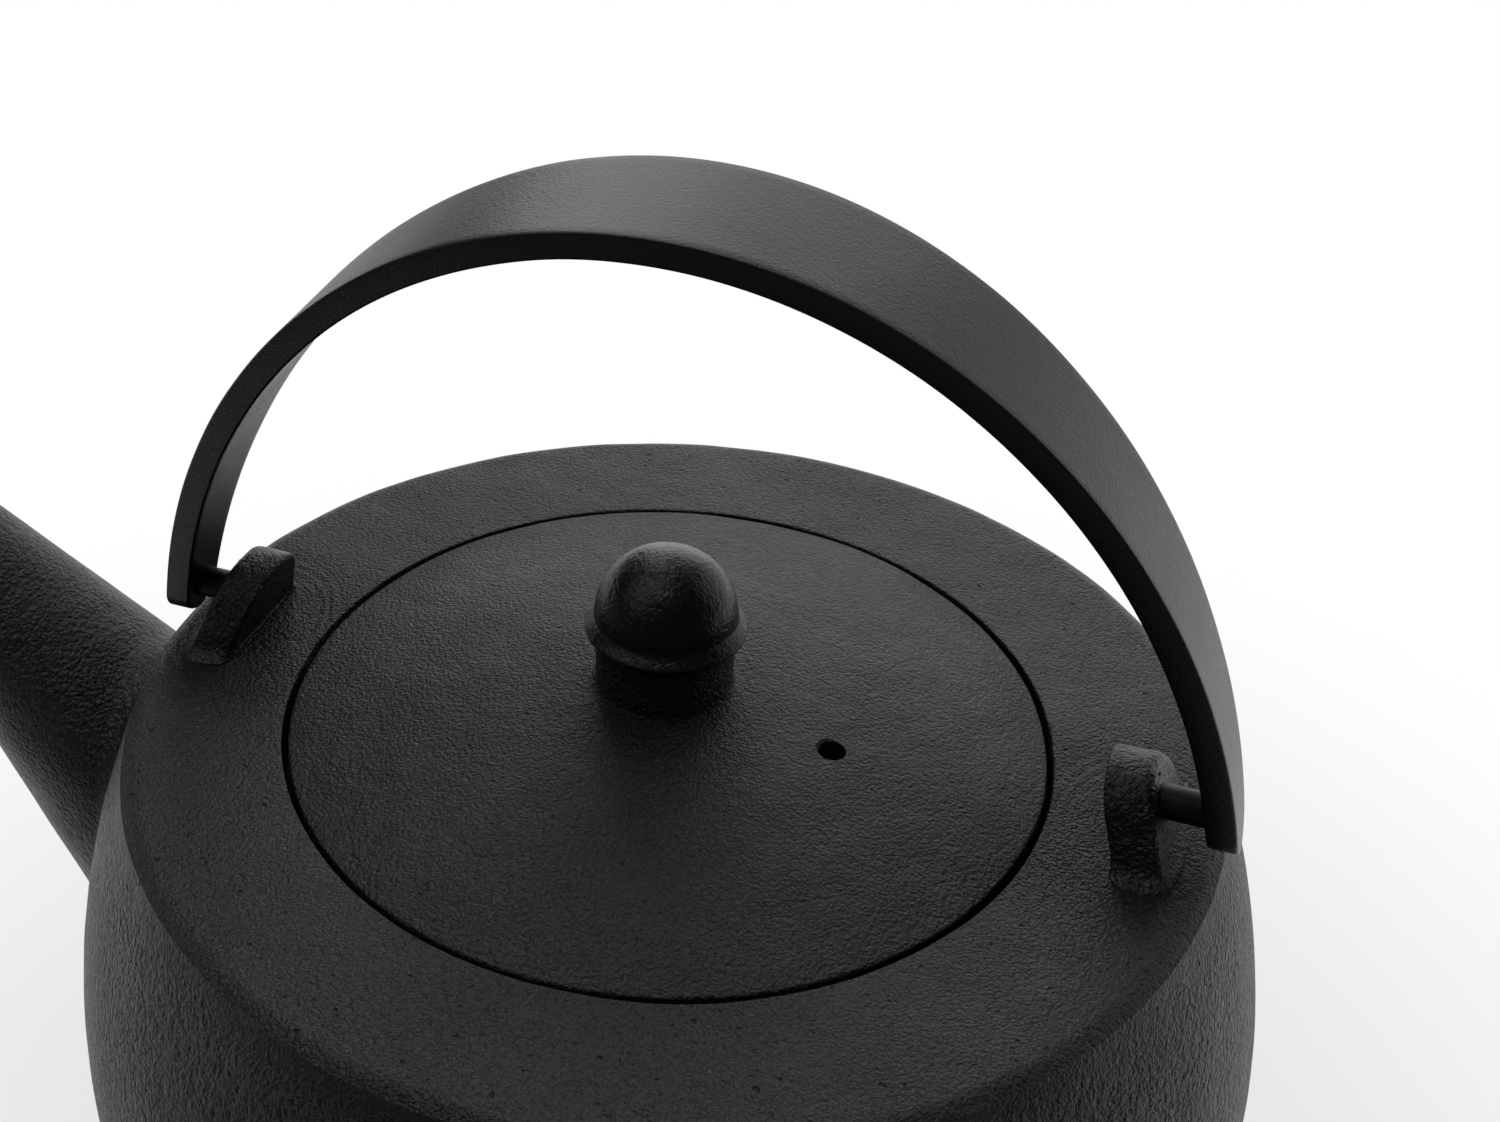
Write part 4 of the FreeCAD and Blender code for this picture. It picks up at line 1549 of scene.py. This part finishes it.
@dataclass(frozen=True)
class Studio:
    """Pale floor, soft lamps and a dim surround.

    Attributes:
        lamps: Lamps round the pot.
        surround: Strength of the surround.
        floor_half: Half the width of the floor, in metres.
        target: Point that the lamps face, in metres.
        paper_dark: Grey of the paper in the light that it gives to the pot.
        paper_light: Grey of the paper in the picture.
        mirror_limits: Places along Y where the paper starts and ends to brighten in the iron, in metres.
        mirror_slant: Shift of these places per metre to the right.
        mirror_left: Place along X past which they shift no further, in metres.
        shadow: Share of the pot's shadow in the picture.
        shadow_reach: Distances where it starts and ends to fade, in millimetres.
    """

    lamps: tuple[Softbox, ...]
    surround: float
    floor_half: float = 3.0
    target: Place = (0.0, 0.0, 0.07)
    paper_dark: float = 0.25
    paper_light: float = 0.9
    mirror_limits: Pair = (-0.135, 0.055)
    mirror_slant: float = 0.25
    mirror_left: float = -0.12
    shadow: float = 0.3
    shadow_reach: Pair = (80.0, 200.0)

    def build(self) -> None:
        """Lay the floor, hang the lamps and set the surround."""
        for lamp in self.lamps:
            lamp.build(self.target)
        steps = np.linspace(-self.floor_half, self.floor_half, 3) / MM
        across, along = np.meshgrid(steps, steps)
        grid = Grid(np.stack([across, along, 0 * across], axis=-1), closed_columns=False)
        floor = new_object("floor", new_mesh("floor", [grid]))
        floor.data.materials.append(self.paper())
        self.sky()

    def paper(self) -> bpy.types.Material:
        """Paper that is white in the picture, save for the pot's shadow, and behind the pot in the iron.

        Returns:
            The finished material.
        """
        graph = Graph.of_material("paper")
        seen = graph.node("ShaderNodeLightPath", output="Is Camera Ray")
        mirrored = graph.node("ShaderNodeLightPath", output="Is Glossy Ray")
        place = graph.place()
        colour = graph.tint(seen, (self.paper_dark,) * 3, (self.paper_light,) * 3)
        paper = graph.node("ShaderNodeBsdfDiffuse", None, {"Color": colour})
        glow = graph.node("ShaderNodeEmission", None, {"Color": WHITE, "Strength": 1.0})
        slant = graph.math("MAXIMUM", graph.level(place, "X"), self.mirror_left) * self.mirror_slant
        behind = graph.fade(graph.level(place, "Y") - slant, self.mirror_limits, (0.0, 1.0))
        shadow = graph.near(place, (0.0, 0.0, 0.0), *self.shadow_reach) * self.shadow
        share = seen * (1 - shadow) + mirrored * behind
        return graph.close(graph.node("ShaderNodeMixShader", None, {0: share, 1: paper, 2: glow}))

    def sky(self) -> None:
        """Dim grey surround that the camera sees as white."""
        world = bpy.context.scene.world or bpy.data.worlds.new("surround")
        bpy.context.scene.world = world
        graph = Graph(world)
        lit, shown = (graph.node("ShaderNodeBackground", None, {"Color": WHITE, "Strength": strength})
                      for strength in (self.surround, 1.0))
        seen = graph.node("ShaderNodeLightPath", output="Is Camera Ray")
        graph.close(graph.node("ShaderNodeMixShader", None, {0: seen, 1: lit, 2: shown}))


@dataclass(frozen=True)
class View:
    """Camera at the photograph's viewing angle.

    Attributes:
        place: Where it stands, in millimetres.
        azimuth: Turn round the upright, in degrees.
        elevation: Height over the level, in degrees.
        roll: Turn round its own axis, in degrees.
        focal: Distance of the image, in pixels.
        centre: Pixel where its axis meets the image.
        image: Size of the image, in pixels.
        sensor: Width of the sensor, in millimetres.
        clip: Nearest and farthest distance that it shows, in metres.
    """

    place: Place = (57.80, -186.21, 239.48)
    azimuth: float = 23.28
    elevation: float = 33.49
    roll: float = -1.6
    focal: float = 2049.07
    centre: Pair = (488.42, 521.09)
    image: tuple[int, int] = (1500, 1122)
    sensor: float = 36.0
    clip: Pair = (0.01, 20.0)

    def build(self) -> None:
        """Aim the camera and shift its frame so that its axis meets the image at the given centre."""
        around, above, tilt = (math.radians(angle) for angle in (self.azimuth, self.elevation, self.roll))
        flat = math.cos(above)
        back = np.array([math.sin(around) * flat, -math.cos(around) * flat, math.sin(above)])
        level = np.array([math.cos(around), math.sin(around), 0])
        upright = np.cross(back, level)
        right = math.cos(tilt) * level + math.sin(tilt) * upright
        up = math.cos(tilt) * upright - math.sin(tilt) * level
        lens = bpy.data.cameras.new("camera")
        wide, high = self.image
        lens.sensor_width = self.sensor
        lens.lens = self.focal / wide * self.sensor
        lens.shift_x = (wide / 2 - self.centre[0]) / wide
        lens.shift_y = (self.centre[1] - high / 2) / wide
        lens.clip_start, lens.clip_end = self.clip
        camera = new_object("camera", lens)
        axes = Matrix(np.stack([right, up, back], axis=1).tolist())
        camera.matrix_world = Matrix.LocRotScale([part * MM for part in self.place], axes, None)
        bpy.context.scene.camera = camera


def main() -> None:
    """Build the pieces in order, light them and set the camera."""
    logging.basicConfig(level=logging.INFO, format="%(message)s")
    bpy.context.scene.view_settings.view_transform = "Standard"
    pot = Pot()
    spout = Spout(pot)
    ears = tuple(Spot(centre=(side.value * 56.0, 0.0, 83.0), inner=9.0, outer=22.0, shape=(1.0, 0.7, 0.0),
                      rings=0.9) for side in Side)
    neck = Spot(centre=(0.0, 0.0, 86.0), inner=8.0, outer=20.0)
    black = (0.003, 0.003, 0.003)
    shell_iron = CastIron("shell_iron", grain=0.24, depth=0.22, roughness=0.42, coarse=ears, coarse_gain=1.6,
                          flank_gain=6.5)
    spout_iron = CastIron("spout_iron", grain=0.34, depth=0.3, roughness=0.42)
    # The ears get a darker copy of the shell's iron: painted shade on the ears.
    lug_iron = CastIron("lug_iron", grain=0.3, depth=0.24, roughness=0.38, dark=black,
                        light=(0.009, 0.009, 0.009), pits=0.5)
    lid_iron = CastIron("lid_iron", grain=0.25, depth=0.22, roughness=0.43, light=(0.016, 0.0145, 0.0125),
                        sheen=(1.0, 0.95, 0.86), coarse=(neck,), coarse_gain=0.9, pits=0.3)
    knob_iron = CastIron("knob_iron", grain=0.3, depth=0.08, roughness=0.31, dark=black,
                         light=(0.007, 0.0066, 0.006), sheen=(1.0, 0.96, 0.9), pits=0.3)
    lacquer = Lacquer("strap_lacquer", dark=(0.006, 0.006, 0.006), light=(0.013, 0.013, 0.013),
                      roughness=0.38, depth=0.07)
    blued = Lacquer("blued_steel", dark=black, light=(0.009, 0.008, 0.007), roughness=0.5, depth=0.05)
    steel = Steel("stainless", dark=(0.5, 0.5, 0.49), light=(0.66, 0.66, 0.65), roughness=0.3)
    pot.build(shell_iron.material(), spout)
    spout.build(spout_iron.material())
    lug_finish_shaded, pin_finish = lug_iron.material(), blued.material()
    for side, crown in ((Side.LEFT, 3.7), (Side.RIGHT, 2.8)):
        Lug(side, pot, crown).build(lug_finish_shaded)
        Pin(side).build(pin_finish)
    Lid().build(lid_iron.material())
    Knob().build(knob_iron.material())
    Strap().build(lacquer.material())
    Basket().dress(steel.material())
    lamps = (
        Softbox("back", (-0.22, 1.25, 0.48), (1.07, 0.95), 4.8),
        Softbox("back_right", (0.75, 1.06, 0.42), (0.95, 0.8), 1.4),
        Softbox("back_left", (-0.59, 0.92, 0.94), (0.7, 0.5), 0.9),
        Softbox("top", (-0.32, 0.10, 1.36), (1.2, 1.2), 7.2),
        Softbox("right_high", (0.78, 0.78, 0.82), (0.7, 0.5), 0.3),
        Softbox("right", (1.14, 0.40, 0.53), (0.5, 0.5), 0.2),
        Softbox("front_left", (-0.74, -0.66, 0.90), (0.5, 0.5), 0.55),
    )
    Studio(lamps, surround=0.04).build()
    View().build()


if __name__ == "__main__":
    main()
